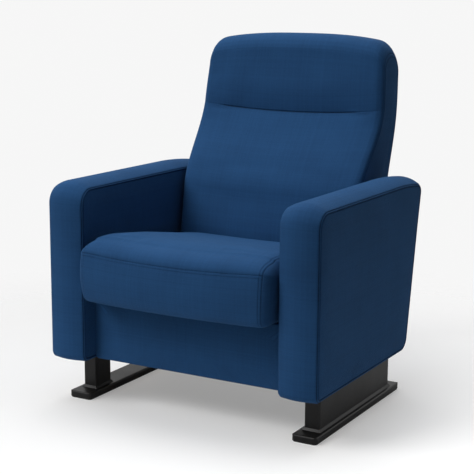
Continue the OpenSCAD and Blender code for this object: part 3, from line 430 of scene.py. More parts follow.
def wovenCloth(name, dark, light, pitch=weave["yarn"], sheen=0.06):
    # Plain weave: over-and-under yarns from the cloth map, each yarn with a tint of its own. A yarn's height
    # is an arch across it, lower towards its ends
    material, shader, place = newMaterial(name, {
        "Roughness": 0.88, "Specular IOR Level": 0.1, "Sheen Weight": sheen, "Sheen Roughness": 0.45,
        "Sheen Tint": (0.3, 0.62, 1, 1)})
    tree = material.node_tree
    u, v = (value.math("DIVIDE", pitch) for value in clothPlaces(tree))
    yarnU, yarnV = u.math("FLOOR"), v.math("FLOOR")
    archU, archV = ((value.math("FRACT") * math.pi).math("SINE") for value in (u, v))
    over = (yarnU + yarnV).math("ABSOLUTE").math("MODULO", 2.0)
    warp = archU * (archV * weave["along"] + (1 - weave["along"]))
    weft = archV * (archU * weave["along"] + (1 - weave["along"]))
    height = result(tree, "Mix", {0: over, 2: warp, 3: weft})
    yarn = result(tree, "Mix", {0: over, 2: yarnU, 3: yarnV + 1000.5})
    tint = result(tree, "TexWhiteNoise", {"W": yarn}, noise_dimensions="1D")
    fibres, patches = noise(place, *weave["fibreNoise"]), noise(place, *weave["patchNoise"])
    # painted shade: a darkening kept on the mesh along the seam grooves lowers the cloth's tone there
    paintedShade = result(tree, "Attribute", {}, "Fac", attribute_name="seamPaintedShade")
    tone = (height * weave["weave"] + tint * weave["yarns"] + fibres * weave["fibres"]
            + patches * weave["patches"] - weave["level"] - paintedShade * weave["seams"])
    colour = ramp(tone, [(0.0, tinted(dark, 0.25)), (0.22, dark), (0.85, light)])
    surface(shader, colour, height + fibres * 0.5, *weave["relief"])
    return material


def grainy(name, colour, spots, relief, tones, rough, bump, inputs):
    # One noise tints the colour and the roughness, and another is the relief. Each tone has its place on the
    # ramp, and what the colour is multiplied by and raised by there
    material, shader, place = newMaterial(name, inputs)
    source = noise(place, *spots)
    colours = ramp(source, [(at, tinted(colour, share, lift)) for at, share, lift in tones])
    surface(shader, colours, noise(place, *relief), *bump, source * rough[0] + rough[1])
    return material


def powderCoat(name, colour, roughness, grain=700):
    # satin paint with fine orange peel, dusted and rubbed a little
    return grainy(name, colour, (14, 5, 0.65), (grain, 2, 0.5), ((0.3, 1, 0), (0.75, 2, 0.0012)),
                  (0.22, roughness - 0.1), (0.00025, 0.35), {"Specular IOR Level": 0.25})


def mouldedPlastic(name, colour):
    return grainy(name, colour, (90, 5, 0.7), (90, 5, 0.7), ((0.25, 0.82, 0), (0.7, 1, 0)), (0.25, 0.33),
                  (0.0001, 0.3), {"Subsurface Weight": 0.08, "Subsurface Radius": (0.002, 0.002, 0.0015)})


def rubberCompound(name, colour):
    return grainy(name, colour, (30, 4, 0.6), (1200, 3, 0.6), ((0.3, 1, 0), (0.8, 2, 0.006)), (0.15, 0.72),
                  (0.0003, 0.4), {})


def bareMetal(name, colour, roughness, stretch, grain, spots=None):
    # metal with drawing lines along one direction, and zinc's spangle where spots is given
    material, shader, place = newMaterial(name, {"Metallic": 1.0})
    lines = noise(place, grain, 4, 0.6, stretch)
    source = lines
    if spots:
        grey = result(material.node_tree, "RGBToBW", {0: cells(place, spots, "Color")})
        source = grey * 0.6 + lines * 0.4
    tone = ramp(source, [(0.2, tinted(colour, 0.72)), (0.8, colour)])
    surface(shader, tone, lines, 0.0001, 0.3, source * 0.2 + (roughness - 0.1))
    return material


def woodGrain(name, dark, light, layered):
    # grain lines stretched along Y; plywood also has its layers across X
    material, shader, place = newMaterial(name, {})
    grain = noise(place, 60, 5, 0.65, (1.0, 0.08 if layered else 0.12, 1.0))
    source = grain
    if layered:
        waves = {"Vector": place, "Scale": 55, "Distortion": 0.6}
        layers = result(material.node_tree, "TexWave", waves, "Fac", wave_type="BANDS",
                        bands_direction="X")
        source = layers * 0.35 + grain * 0.65
    surface(shader, ramp(source, [(0.25, dark), (0.75, light)]), grain, 0.0003, 0.35, grain * 0.2 + 0.55)
    return material


def openFoam(name, dark, light):
    # cut polyurethane foam: small round cells, yellowed in patches
    material, shader, place = newMaterial(name, {"Roughness": 0.95})
    holes = cells(place, 700, "Distance")
    tone = ramp(holes * 0.5 + noise(place, 12, 4, 0.6) * 0.6, [(0.2, light), (0.8, dark)])
    surface(shader, tone, holes, 0.0008, 0.5)
    return material


def strapWeb(name, dark, light, ribPitch=0.0022, cordPitch=0.0035):
    # elastic webbing: fine ribs across the strap and cords along it, from the strap's own map
    material, shader, place = newMaterial(name, {"Roughness": 0.85})
    along, across = clothPlaces(material.node_tree)
    ribs = (along * (2 * math.pi / ribPitch)).math("SINE")
    cords = (across * (2 * math.pi / cordPitch)).math("SINE")
    height = ribs * 0.3 + cords * 0.2
    tone = ramp(height + 0.5 + noise(place, 1500, 2, 0.6) * 0.3, [(0.15, dark), (0.95, light)])
    surface(shader, tone, height, 0.0004, 0.6)
    return material


threadBlue = wovenCloth("threadBlue", (0.008, 0.031, 0.085), (0.017, 0.061, 0.16), 0.0006, 0.03)
finishes = {
    "blue_fabric": wovenCloth("blueWovenCloth", (0.0115, 0.0475, 0.128), (0.0225, 0.0895, 0.228)),
    "blue_panel_fabric": wovenCloth("blueRearCloth", (0.0108, 0.041, 0.112), (0.021, 0.076, 0.2)),
    "seat_foam_pad": openFoam("cutFoam", (0.52, 0.42, 0.2), (0.74, 0.67, 0.43)),
    "plywood": woodGrain("plywood", (0.3, 0.17, 0.07), (0.5, 0.33, 0.16), True),
    "timber": woodGrain("timber", (0.35, 0.2, 0.08), (0.58, 0.4, 0.2), False),
    "webbing": strapWeb("webbingStrap", (0.012, 0.01, 0.008), (0.06, 0.05, 0.035)),
    "black_rubber": rubberCompound("blackRubber", (0.006, 0.006, 0.006)),
    "black_satin_steel": powderCoat("blackPowderCoat", (0.0026, 0.0026, 0.0028), 0.42),
    "zinc_steel": bareMetal("zincPlate", (0.56, 0.57, 0.58), 0.42, (1.0, 0.05, 1.0), 120, 90),
    "bright_steel": bareMetal("brightSteel", (0.62, 0.62, 0.64), 0.28, (0.06, 1.0, 1.0), 400),
    "spring_steel": bareMetal("springSteel", (0.36, 0.37, 0.39), 0.33, (1.0, 1.0, 1.0), 300),
    "white_nylon": mouldedPlastic("whiteNylon", (0.66, 0.66, 0.6)),
    "bronze": bareMetal("bronzeBush", (0.62, 0.4, 0.16), 0.35, (0.06, 1.0, 1.0), 500),
    "frame_steel": powderCoat("framePaint", (0.009, 0.009, 0.0105), 0.5, 450),
}
slotOf = {row["node"]: row["material_slot"] for row in frame["record"]["subparts"]}
for nodeName, thing in nodes.items():
    thing.data.materials.clear()
    thing.data.materials.append(finishes[slotOf[nodeName]])
print("materials made", len(finishes))


# Modifiers, and what every new piece is given

def modify(piece, kind, **settings):
    modifier = piece.modifiers.new(kind.lower(), kind)
    for key, value in settings.items():
        setattr(modifier, key, value)
    return modifier


def evaluated(piece):
    return piece.evaluated_get(bpy.context.evaluated_depsgraph_get())


def bake(piece):
    # puts what the modifiers make into the piece's mesh
    mesh = bpy.data.meshes.new_from_object(evaluated(piece))
    piece.modifiers.clear()
    piece.data = mesh


def cut(piece, solids):
    # takes closed solids out of a closed piece
    for solid in solids:
        modify(piece, "BOOLEAN", operation="DIFFERENCE", solver="MANIFOLD", object=solid)
    bake(piece)
    for solid in solids:
        bpy.data.objects.remove(solid)


def dress(piece, body, replaced, slot, material=None):
    piece.data.materials.clear()
    piece.data.materials.append(material or finishes[slot])
    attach(piece, body)
    if replaced:
        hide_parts(*replaced)


# Padding: simulation, seams and stitches

simulation = {"voxel": 6.0, "frames": 20, "pinReach": 9.0, "pinLevels": 10, "grow": 32.0, "cloth": {
    "quality": 4, "mass": 0.3, "time_scale": 1.0, "tension_stiffness": 12, "compression_stiffness": 12,
    "shear_stiffness": 8, "bending_stiffness": 2.0, "tension_damping": 8, "compression_damping": 8,
    "use_pressure": True, "uniform_pressure_force": 4.0, "vertex_group_mass": "held"}}


def distanceTo(points, line, chunk=4000):
    # least distance of each point from a line's points, in blocks
    out = np.empty(len(points))
    for first in range(0, len(points), chunk):
        block = points[first:first + chunk]
        square = ((block[:, None, :] - line[None]) ** 2).sum(2)
        out[first:first + chunk] = np.sqrt(square.min(1))
    return out


def simulated(coarse, held):
    # where the points of the coarse copy go under pressure, each held by its share
    group, levels = coarse.vertex_groups.new(name="held"), simulation["pinLevels"]
    for level in range(1, levels + 1):
        chosen = np.nonzero((held * levels).round().astype(int) == level)[0]
        if len(chosen):
            group.add(chosen.tolist(), level / levels, "REPLACE")
    cloth = modify(coarse, "CLOTH")
    for key, value in simulation["cloth"].items():
        setattr(cloth.settings, key, value)
    cloth.settings.effector_weights.gravity = 0
    cloth.collision_settings.use_collision = False
    cloth.point_cache.frame_start, cloth.point_cache.frame_end = 1, simulation["frames"]
    for step in range(1, simulation["frames"] + 1):
        scene.frame_set(step)
    moved = coordinates(evaluated(coarse).data)
    coarse.modifiers.clear()
    scene.frame_set(1)
    return moved


def inflate(piece, seamLines, capAt):
    # Blows the padding up between its seams with a cloth simulation on a coarse copy. Each point keeps the
    # outward part of its move, up to a cap that grows with its distance from the seams, and the fine mesh
    # follows the copy
    coarse = copyOf(piece, piece.name + "Coarse")
    modify(coarse, "REMESH", mode="VOXEL", voxel_size=simulation["voxel"] * mm, use_smooth_shade=True)
    bake(coarse)
    rest, normals = coordinates(coarse.data), vertexNormals(coarse.data)
    fromSeams = distanceTo(rest, np.vstack(seamLines) * mm)
    moved = simulated(coarse, 1 - np.clip(fromSeams / (simulation["pinReach"] * mm), 0, 1) ** 2)
    outward = np.maximum(((moved - rest) * normals).sum(1), 0)
    grow = 1 - np.exp(-fromSeams / (simulation["grow"] * mm))
    cap = np.maximum(capAt(rest / mm, normals) * grow * mm, 1e-9)
    kept = cap * np.tanh(outward / cap)
    print(piece.name, "simulated", len(rest), "points, moved up to", round(float(outward.max() / mm), 1),
          "mm, kept", round(float(kept.max() / mm), 1))
    follow = modify(piece, "SURFACE_DEFORM", target=coarse)
    with bpy.context.temp_override(object=piece, active_object=piece):
        bpy.ops.object.surfacedeform_bind(modifier=follow.name)
    if not follow.is_bound:
        raise RuntimeError(piece.name + " could not follow its coarse copy")
    setCoordinates(coarse.data, rest + normals * kept[:, None])
    carried = coordinates(evaluated(piece).data)
    piece.modifiers.clear()
    setCoordinates(piece.data, carried)
    bpy.data.objects.remove(coarse)


def seamMarks(distance, seam):
    # Depth and painted shade beside a seam, from the distance to it; the painted shade darkens the cloth's
    # colour in the groove. Each is a sum of bell curves, given by place, height and half width
    return np.stack([sum(height * np.exp(-((distance - at) / width) ** 2) for at, height, width in seam[key])
                     for key in ("depth", "paintedShade")])


def sinkSeams(piece, marks):
    # Moves each vertex in along its normal by its depth, and keeps its painted shade to darken the cloth's
    # colour.
    # The marks are the rings', and the end patches have none. Gives the new places and normals for the
    # stitches
    points, normals = coordinates(piece.data), vertexNormals(piece.data)
    flat = marks.reshape(2, -1)
    depth, paintedShade = np.pad(flat, ((0, 0), (0, len(points) - flat.shape[1])))
    setCoordinates(piece.data, points - normals * (depth * mm)[:, None])
    layer = piece.data.attributes.new("seamPaintedShade", "FLOAT", "POINT")
    layer.data.foreach_set("value", np.clip(paintedShade, 0, 1).astype(np.float32))
    return coordinates(piece.data) / mm, vertexNormals(piece.data)


stitchForm = {"length": 3.1, "pitch": 4.4, "radius": 0.42, "sink": 0.12, "bend": 0.45,
              "rings": (-1, -0.8, -0.35, 0.35, 0.8, 1), "ringRadii": (0.12, 0.72, 1, 1, 0.72, 0.12)}


def stitchRows(name, rows):
    # Short threads laid along lines: each is a bent six-sided capsule, placed by a matrix of its own
    form = stitchForm
    shares = np.array(form["rings"])
    across = np.array(form["ringRadii"])[:, None] * roundSection(form["radius"], 6).T[:, None]
    template = np.stack([np.repeat(shares * form["length"] / 2, 6), across[0].ravel(),
                         across[1].ravel() - np.repeat(shares ** 2, 6) * form["bend"]], 1)
    placed = []
    for line, normal in rows:
        s = running(distances(line))
        middles = (np.arange(int(s[-1] / form["pitch"])) + 0.5) * form["pitch"]
        centre, ahead, behind = (np.stack([np.interp(middles + shift, s, line[:, k]) for k in range(3)], 1)
                                 for shift in (0, 1, -1))
        along = unit(ahead - behind)
        out = squareTo(np.stack([np.interp(middles, s, normal[:, k]) for k in range(3)], 1), along)
        turned = np.stack([along, np.cross(out, along), out], 1)
        placed.append(((centre + out * form["sink"])[:, None] + template[None] @ turned).reshape(-1, 3))
    points = np.vstack(placed)
    count, size = len(points) // len(template), len(template)
    base = (np.arange(count) * size)[:, None, None]
    cap = np.array([[5, 4, 3, 2, 1, 0], list(range(size - 6, size))])
    faces = (base + ringFaces(len(shares), 6)[2][None]).reshape(-1, 4).tolist()
    faces += (base + cap[None]).reshape(-1, 6).tolist()
    piece = meshObject(name, points, faces)
    corners = np.zeros(len(piece.data.loops), np.int32)
    piece.data.loops.foreach_get("vertex_index", corners)
    setClothMap(piece, points[corners][:, :2])
    return piece


def addStitches(name, rows, body):
    dress(stitchRows(name, rows), body, [], "blue_fabric", material=threadBlue)


# Arms

arm = {"front": -294.5, "rear": 320.0, "low": 118.0, "high": 562.0, "rake": 10.18, "halfWidth": 51.3,
       "edge": 8.0, "radii": (16.0, 36.0, 20.0, 41.0), "crown": 14.5, "nose": 9.0, "middle": 330.0,
       "sideSwell": 2.2, "swellReach": 16.0, "sag": 12.0, "sagFrom": 165.0, "sagAbove": (430.0, 540.0),
       "stitchOff": 6.2, "bandShare": 0.6, "leastSlope": 0.02, "caps": (2.5, 1.2, 0.2), "arcSteps": 6,
       "straights": (62, 44, 62, 44), "bandRows": 19,
       "panelRows": (0.7, 1.3, 1.9, 2.5, 3.1, 3.7, 4.5, 5.7, 7.6, 10, 14, 19, 27, 40),
       "turnRows": (-3.6, -2.6, -1.8, -1.1, -0.5, 0, 0.5, 1.1, 1.8, 2.6, 3.6), "turnLength": 8.2}
# seam grooves: depth in millimetres, and the painted shade that darkens the cloth in them
armSeam = {"depth": ((0, 1.4, 1.15), (6.2, 1.5, 1.5), (3.1, -1.0, 1.7)),
           "paintedShade": ((0, 0.78, 1.0), (6.2, 0.75, 1.35))}
# the hollow for the timber frame and its wadding, and the holes for the posts
armHollow = {"front": -284.5, "rear": 303.3, "low": 115.0, "high": 552.5, "rake": 9.5, "half": 46.6,
             "radii": (7.0, 25.0, 30.0, 30.0)}
postHole = {"x": 327.0, "half": (19.3, 34.8), "below": 9.0, "above": 12.0}


def rakedCorners(form):
    lean = math.tan(math.radians(form["rake"])) * (form["high"] - form["low"])
    return [(form["front"], form["low"]), (form["rear"] - lean, form["low"]), (form["rear"], form["high"]),
            (form["front"], form["high"])]


def armForm():
    # The outline seen from the side, carried across the arm: a shallow arc over the band, a tight round at
    # each edge with the seam at its middle, and a panel that swells a little on each side
    half, edge = arm["halfWidth"], arm["edge"]
    panel, turns = np.array(arm["panelRows"]), 0.5 + np.array(arm["turnRows"]) / arm["turnLength"]
    band = np.linspace(-1, 1, arm["bandRows"])[1:-1]
    counts = [len(panel), len(turns), len(band), len(turns), len(panel)]
    kind = np.repeat(np.arange(5), counts)[:, None]
    v = np.concatenate([panel[::-1], turns[::-1], band, turns, panel])[:, None]
    inset = np.where(kind % 4 == 0, v, 0)[:, 0]
    outline, normal = insetOutline(rakedCorners(arm), arm["radii"], inset, arm["arcSteps"], arm["straights"])
    crown = np.where(normal[:, 1] > 0, normal[:, 1] ** 2 * arm["crown"], 0) + normal[:, 0] ** 2 * arm["nose"]
    slope = np.maximum(2 * np.arctan(crown / (half - edge * arm["bandShare"])), arm["leastSlope"])
    chord = half - edge * (1 - np.sin(slope))
    radius = chord / np.sin(slope)
    foot = -edge * np.cos((slope + math.pi / 2) / 2)
    angle = slope + np.clip(v, 0, 1) * (math.pi / 2 - slope)
    turnAcross = chord + edge * (np.sin(angle) - np.sin(slope))
    bandOut = foot + edge * np.cos(slope) + radius * (np.cos(v * slope) - np.cos(slope))
    panelAcross = half + arm["sideSwell"] * (1 - np.exp(-v / arm["swellReach"]))
    side = np.where(kind < 2, -1, 1)
    across = side * np.where(kind % 2, turnAcross, panelAcross)
    across = np.where(kind == 2, radius * np.sin(v * slope), across)
    out = np.where(kind == 2, bandOut, np.where(kind % 2, foot + edge * np.cos(angle), foot))
    rings = np.concatenate([across[:, :, None], outline + out[:, :, None] * normal[None]], 2)
    # the top sags a little towards the rear
    sag = np.clip((rings[:, :, 1] - arm["sagFrom"]) / (arm["rear"] - arm["sagFrom"]), 0, 1) ** 2
    low, high = arm["sagAbove"]
    rings[:, :, 2] -= arm["sag"] * sag * easeIn((rings[:, :, 2] - low) / (high - low))
    middle = len(panel) + len(turns) // 2
    return rings, (middle, len(kind) - 1 - middle)


def armCapAt(points, normals):
    top, side, under = arm["caps"]
    return np.where(normals[:, 2] < -0.5, under, np.where(np.abs(normals[:, 0]) > 0.75, side, top))


def makeArms():
    rings, seams = armForm()
    first = pillow("armPadding", rings, *(2 * arm["arcSteps"] + count for count in arm["straights"][:2]))
    n = rings.shape[1]
    inflate(first, [rings[k] for k in seams], armCapAt)
    s = running(distances(rings).mean(1))
    # the seam itself, and the topstitching beside it on the panel, with a low ridge between
    onPanel = np.maximum(s[seams[0]] - s, s - s[seams[1]])
    points, normals = sinkSeams(first, np.repeat(seamMarks(onPanel, armSeam), n, 1))
    rows = []
    for seam, sign in zip(seams, (-1, 1)):
        k = nearest(s, s[seam] + sign * arm["stitchOff"])
        loop = np.append(np.arange(k * n, k * n + n), k * n)
        rows.append((points[loop], normals[loop]))
    hollow, _ = insetOutline(rakedCorners(armHollow), armHollow["radii"], 0, 4, (2, 2, 2, 2))
    halfX, halfY = postHole["half"]
    for side, name in ((-1, "left"), (1, "right")):
        x = side * arm["middle"]
        cover = first if side > 0 else copyOf(first, "leftArmPadding")
        cover.name = name + "ArmPadding"
        cover.data.transform(Matrix.Translation((x * mm, 0, 0)))
        solids = [prism(name + "Core", x - armHollow["half"], x + armHollow["half"], hollow[0])]
        for tag in ("front", "rear"):
            low, high = (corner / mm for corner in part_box(name + "_" + tag + "_post"))
            holeX, holeY = side * postHole["x"], (low.y + high.y) / 2
            solids.append(boxSolid(name + tag + "Hole",
                                   (holeX - halfX, holeY - halfY, arm["low"] - postHole["below"]),
                                   (holeX + halfX, holeY + halfY, arm["low"] + postHole["above"])))
        cut(cover, solids)
        dress(cover, "base", [name + "_arm_cover"], "blue_fabric")
        moved = [(line + np.array([x, 0, 0]), normal) for line, normal in rows]
        addStitches(name + "ArmStitches", moved, "base")
    print("arms made")


# Backrest

back = {"half": 266.0, "edge": 21.0, "rearEdge": 5.0, "low": 308.0, "high": 938.0, "rearAt": 352.0,
        "pivotZ": 470.0, "rake": 9.65, "headDepth": 119.0, "lumbarDepth": 206.0, "lumbarTop": 520.0,
        "headSeam": 742.0, "crown": 5.5, "crownFrom": 368.0, "crownOver": 60.0, "headPuff": 2.6,
        "headPuffUp": 66.0, "headPuffWidth": 44.0, "topCrown": 21.5, "topPower": 2.8, "cornerRadius": 40.0,
        "topRadius": 48.0, "roundShare": 0.47, "panel": 8.0, "hem": 14.0, "caps": (4.5, 1.6, 1.5, 0.2),
        "headFrom": 715.0, "headOver": 40.0, "sideSwell": 10.5, "swellAt": 715.0, "swellReach": 135.0,
        "seamShare": 0.93, "stitchOff": 6.5, "spacing": 7.5, "bottomRows": 17, "topRows": 8, "rearRows": 92,
        "hemRows": 3, "aboveShare": 0.2}
crease = {"low": 728.0, "rise": 15.0, "risePower": 2.2, "depth": 8.0, "above": 30.0, "below": 13.0,
          "sharp": 1.25, "fades": (0.52, 0.82, 0.8), "end": 212.0, "endOver": 24.0, "beyond": 0.3,
          "sideEnd": 258.0, "sideOver": 8.0,
          "rowsAbove": (52, 44, 37, 30, 24, 18, 13, 9, 6, 3.8, 2.2, 1.1, 0.45), "rowsBelow": 9,
          "stitchRow": 4, "stitchEnd": 250.0}
# seam and crease grooves: depth in millimetres, and the painted shade that darkens the cloth in them
backSeam = {"depth": ((0, 1.2, 1.15), (-6.5, 0.9, 1.1)), "paintedShade": ((0, 0.5, 0.95), (-6.5, 0.36, 0.9))}
creaseSeam = {"depth": ((0, 1.7, 1.5),), "paintedShade": ((-0.3, 0.6, 1.5),)}
backHollow = {"half": 254.3, "pad": 17.0, "headPad": 21.5, "headFrom": 690.0, "headOver": 50.0,
              "top": 910.0, "cornerRadius": 50.0, "rear": 12.0, "below": 6.0, "rows": 22, "taperDown": 1.5,
              "taperIn": 0.7, "leastTop": 4.0, "apart": 0.01,
              "stations": (0, 0.8, 0.88, 0.93, 0.97, 0.995, 1)}
backLean = math.tan(math.radians(back["rake"]))
backSquare = math.cos(math.radians(back["rake"]))


def rearY(z):
    return back["rearAt"] + backLean * (z - back["pivotZ"])


def frontY(z):
    share = easeIn((back["headSeam"] - z) / (back["headSeam"] - back["lumbarTop"]))
    return rearY(z) - back["headDepth"] - (back["lumbarDepth"] - back["headDepth"]) * share


def rearAt(z, d):
    return rearY(z) - d / backSquare


def creaseAt(u):
    return crease["low"] + crease["rise"] * np.abs(u) ** crease["risePower"]


def faceY(z, u):
    # A crown across, the headrest's swell, and the crease, which falls off slowly above and quickly below
    crown = back["crown"] * (1 - u ** 4) * easeIn((z - back["crownFrom"]) / back["crownOver"])
    up = z - creaseAt(u)
    puff = back["headPuff"] * (1 - u ** 4) * np.exp(-((up - back["headPuffUp"]) / back["headPuffWidth"]) ** 2)
    reach = np.where(up > 0, crease["above"], crease["below"])
    first, last, fade = crease["fades"]
    deep = crease["depth"] * (1 - fade * easeIn((u - first) / (last - first)))
    return frontY(z) - crown - puff + deep * np.exp(-(np.abs(up) / reach) ** crease["sharp"])


def backForm():
    # Cross-sections from side to side: up the rear, over the top, down the face to the hem
    flat = back["half"] - back["edge"]
    quarter = back["edge"] * math.pi / 2
    seamAt = flat + quarter * back["seamShare"]
    second = seamAt - back["stitchOff"]
    t = stops(flat + quarter, back["spacing"], (-seamAt, -second, second, seamAt))
    turn = np.clip((np.abs(t) - flat) / back["edge"], 0, math.pi / 2)
    a = np.sign(t) * (np.minimum(np.abs(t), flat) + back["edge"] * np.sin(turn))
    edge = (back["edge"] * (1 - np.cos(turn)))[:, None]
    rearEdge, corner = (pullIn(np.abs(a), back["half"], back[key])[:, None]
                        for key in ("rearEdge", "cornerRadius"))
    u = (np.abs(a) / back["half"])[:, None]
    top = back["high"] - back["topCrown"] * u ** back["topPower"] - corner
    wide = rearAt(top, back["panel"]) - frontY(top) - edge - rearEdge
    r = np.minimum(back["topRadius"], wide * back["roundShare"])
    z1, z0, hem = top - r, back["low"], back["hem"]
    hemY, rearTop = frontY(z0 + hem) + edge + hem, rearAt(z1, back["panel"]) - rearEdge
    faceTop = faceY(z1, u) + edge
    zUp = onwards(z0, z1, back["rearRows"])
    eighths = [np.linspace(first, first + 45, 7)[1:] for first in (0, 45, 90, 135)]
    parts = [arcPoints(hemY, z0 + hem, hem, hem, np.linspace(225, 270, 4)),
             linePoints(hemY, z0, rearAt(z0, back["panel"]) - rearEdge, z0, back["bottomRows"]),
             np.stack([rearAt(zUp, back["panel"]) - rearEdge, zUp], -1),
             arcPoints(rearTop - r, z1, r, r, eighths[0]),
             arcPoints(rearTop - r, z1, r, r, eighths[1]),
             linePoints(rearTop - r, top, faceTop + r, top, back["topRows"]),
             arcPoints(faceTop + r, z1, r, r, eighths[2]),
             arcPoints(faceTop + r, z1, r, r, eighths[3])]
    sizes = [part.shape[1] for part in parts]
    p, q = sizes[0] + sizes[1] - 1, sizes[2] + sizes[3]
    # down the face, closer together at the crease, with as many steps as the rear
    fine, line = np.array(crease["rowsAbove"])[None], creaseAt(u)
    creaseZ = np.concatenate([line + fine, line, line - fine[:, :-crease["rowsBelow"] - 1:-1]], 1)
    left = q - sizes[7] - creaseZ.shape[1] - back["hemRows"]
    above = int(round(left * back["aboveShare"]))
    high = onwards(z1, creaseZ[:, :1], above)
    deep = onwards(creaseZ[:, -1:], z0 + hem, left - above + 1)
    zFace = np.concatenate([high[:, :-1], creaseZ, deep], 1)
    parts += [np.stack([faceY(zFace, u) + edge, zFace], -1),
              arcPoints(hemY, z0 + hem, hem, hem, np.linspace(180, 225, back["hemRows"] + 1)[1:-1])]
    ring = np.concatenate(parts, 1)
    swell = back["sideSwell"] * np.exp(-((ring[:, :, 1:] - back["swellAt"]) / back["swellReach"]) ** 2)
    rings = np.concatenate([a[:, None, None] * (1 + swell / back["half"]), ring], 2)
    return rings, t, a, seamAt, p, q, sum(sizes) + above - 1 + fine.size, sum(sizes[:4])


def backCapAt(points, normals):
    face, head, side, other = back["caps"]
    cap = face + (head - face) * easeIn((points[:, 2] - back["headFrom"]) / back["headOver"])
    cap = np.where(np.abs(normals[:, 0]) > 0.7, side, cap)
    return np.where((normals[:, 1] > 0.5) | (normals[:, 2] < -0.5) | (normals[:, 2] > 0.8), other, cap)


def backHollowSolid():
    # sections of the hollow from side to side: the slanted rear, and up the face behind the padding
    form = backHollow
    stations = np.array(form["stations"])
    a = np.concatenate([-stations[:0:-1], stations]) * form["half"]
    low = back["low"] - form["below"]
    high = (form["top"] - pullIn(np.abs(a), form["half"], form["cornerRadius"]))[:, None]
    z = low + (high - low) * np.linspace(1, 0, form["rows"])[None]
    pad = form["pad"] + (form["headPad"] - form["pad"]) * easeIn((z - form["headFrom"]) / form["headOver"])
    front = np.stack([frontY(z) + pad, z], -1)
    taper = np.minimum(high, back["high"] - form["taperDown"] * back["topRadius"])
    topY = rearAt(high, form["rear"] + form["taperIn"] * back["topRadius"])
    topY = np.maximum(topY, front[:, :1, 0] + form["leastTop"])
    behindY = [rearAt(low, form["rear"]) + 0 * high, rearAt(taper, form["rear"]), topY]
    behindZ = [low + 0 * high, taper, high + form["apart"]]
    behind = np.stack([np.concatenate(behindY, 1), np.concatenate(behindZ, 1)], -1)
    outline = np.concatenate([behind, front], 1)
    across = np.broadcast_to(a[:, None, None], outline.shape[:2] + (1,))
    return loft("backHollow", np.concatenate([across, outline], 2))


def makeBack():
    rings, t, a, seamAt, p, q, creaseIndex, faceFirst = backForm()
    n = rings.shape[1]
    cover = pillow("backPadding", rings, p, q)
    span = np.arange(faceFirst, n)
    across = np.abs(t) < back["half"] - back["edge"]
    lines = [rings[nearest(t, s * seamAt)][span] for s in (-1, 1)]
    inflate(cover, lines + [rings[across, k] for k in (creaseIndex, 0, faceFirst)], backCapAt)
    onFace = np.arange(n) >= faceFirst
    off = rings[:, :, 2] - creaseAt(np.abs(a) / back["half"])[:, None]
    # the crease ends before the sides, and its seam goes on faintly to them
    ends = easeIn((crease["end"] - np.abs(a)) / crease["endOver"])
    share = (crease["beyond"] + (1 - crease["beyond"]) * ends) * easeIn((crease["sideEnd"] - np.abs(a))
                                                                        / crease["sideOver"])
    marks = sum(seamMarks(s * t - seamAt, backSeam)[:, :, None] for s in (-1, 1)) + seamMarks(
        off, creaseSeam) * share[:, None]
    points, normals = sinkSeams(cover, marks * onFace)
    index = [nearest(t, s * (seamAt - back["stitchOff"])) * n + span for s in (-1, 1)]
    index.append(np.nonzero(np.abs(a) < crease["stitchEnd"])[0] * n + creaseIndex + crease["stitchRow"])
    cut(cover, [backHollowSolid()])
    dress(cover, "back", ["back_cover", "headrest_cover"], "blue_fabric")
    addStitches("backStitches", [(points[row], normals[row]) for row in index], "back")
    print("backrest made")


# Cushion

seat = {"half": 272.0, "front": -335.0, "bulge": 17.0, "rear": 113.0, "low": 285.0, "seam": 407.0,
        "seamRise": 8.0, "crown": 33.0, "crownLeast": 0.6, "roll": 60.0, "fall": 7.0, "endRadius": 40.0,
        "cornerRadius": 30.0, "tuck": 7.0, "foot": (26.0, 22.0), "footRise": 3.0, "footPower": 14,
        "footEnd": 22.0, "footShare": 0.8, "footPull": 8.0, "pullFrom": 225.0, "pullBelow": 358.0,
        "pullOver": 75.0, "rearRadius": 22.0, "leanFrom": 18, "hem": 9.0, "drawShare": 0.25,
        "rearDraw": 0.3, "sidePower": 9.0, "liftPower": 0.6, "cornerSeam": 254.0, "stitchOff": 7.0,
        "dome": 11.0, "domeFrom": (-320.0, 105.0), "domeTo": (115.0, 300.0), "caps": (5.0, 1.5, 0.2),
        "tip": 16.0, "tipTurns": (12, 24, 36, 48, 58, 68, 78, 90), "spacing": 7.5, "bottomRows": 64,
        "rearRows": 34, "hemRows": 3, "rollFirst": (97, 104, 111, 118, 125, 131, 137),
        "rollLast": (143, 149, 155, 160), "nearSeam": (6.5, 4.2, 2.7, 1.7, 1.0, 0.45), "seamRadius": 29.0,
        "nearFace": (0.45, 1.0, 1.7, 2.7, 4.0, 5.2, 5.9, 6.4, 7.0, 7.6, 8.1, 8.8, 10.5), "stitchRow": 9}
# seam grooves: depth in millimetres, and the painted shade that darkens the cloth in them
cornerSeam = {"depth": ((0, 1.0, 1.1), (-7, 0.8, 1.0)), "paintedShade": ((0, 0.42, 0.9), (-7, 0.34, 0.85))}
frontSeam = {"depth": ((0, 0.75, 1.1), (7, 0.5, 1.0), (3.5, -0.3, 1.7)),
             "paintedShade": ((0, 0.27, 0.9), (7, 0.16, 0.85))}
seatHollow = {"half": 250.0, "front": -309.6, "rear": 102.2, "high": 392.0, "fall": 7.0, "below": 6.0}


def sideSeamZ(y, u):
    # height of the seams beside the top: level in front, falling to the rear, with the dome over it
    level = seat["seam"] + seat["seamRise"] * u * u
    fall = math.tan(math.radians(seat["fall"])) * np.maximum(0, y - seat["front"] - seat["roll"])
    (first, over), (last, before) = seat["domeFrom"], seat["domeTo"]
    return level - fall + seat["dome"] * easeIn((y - first) / over) * easeIn((last - y) / before)


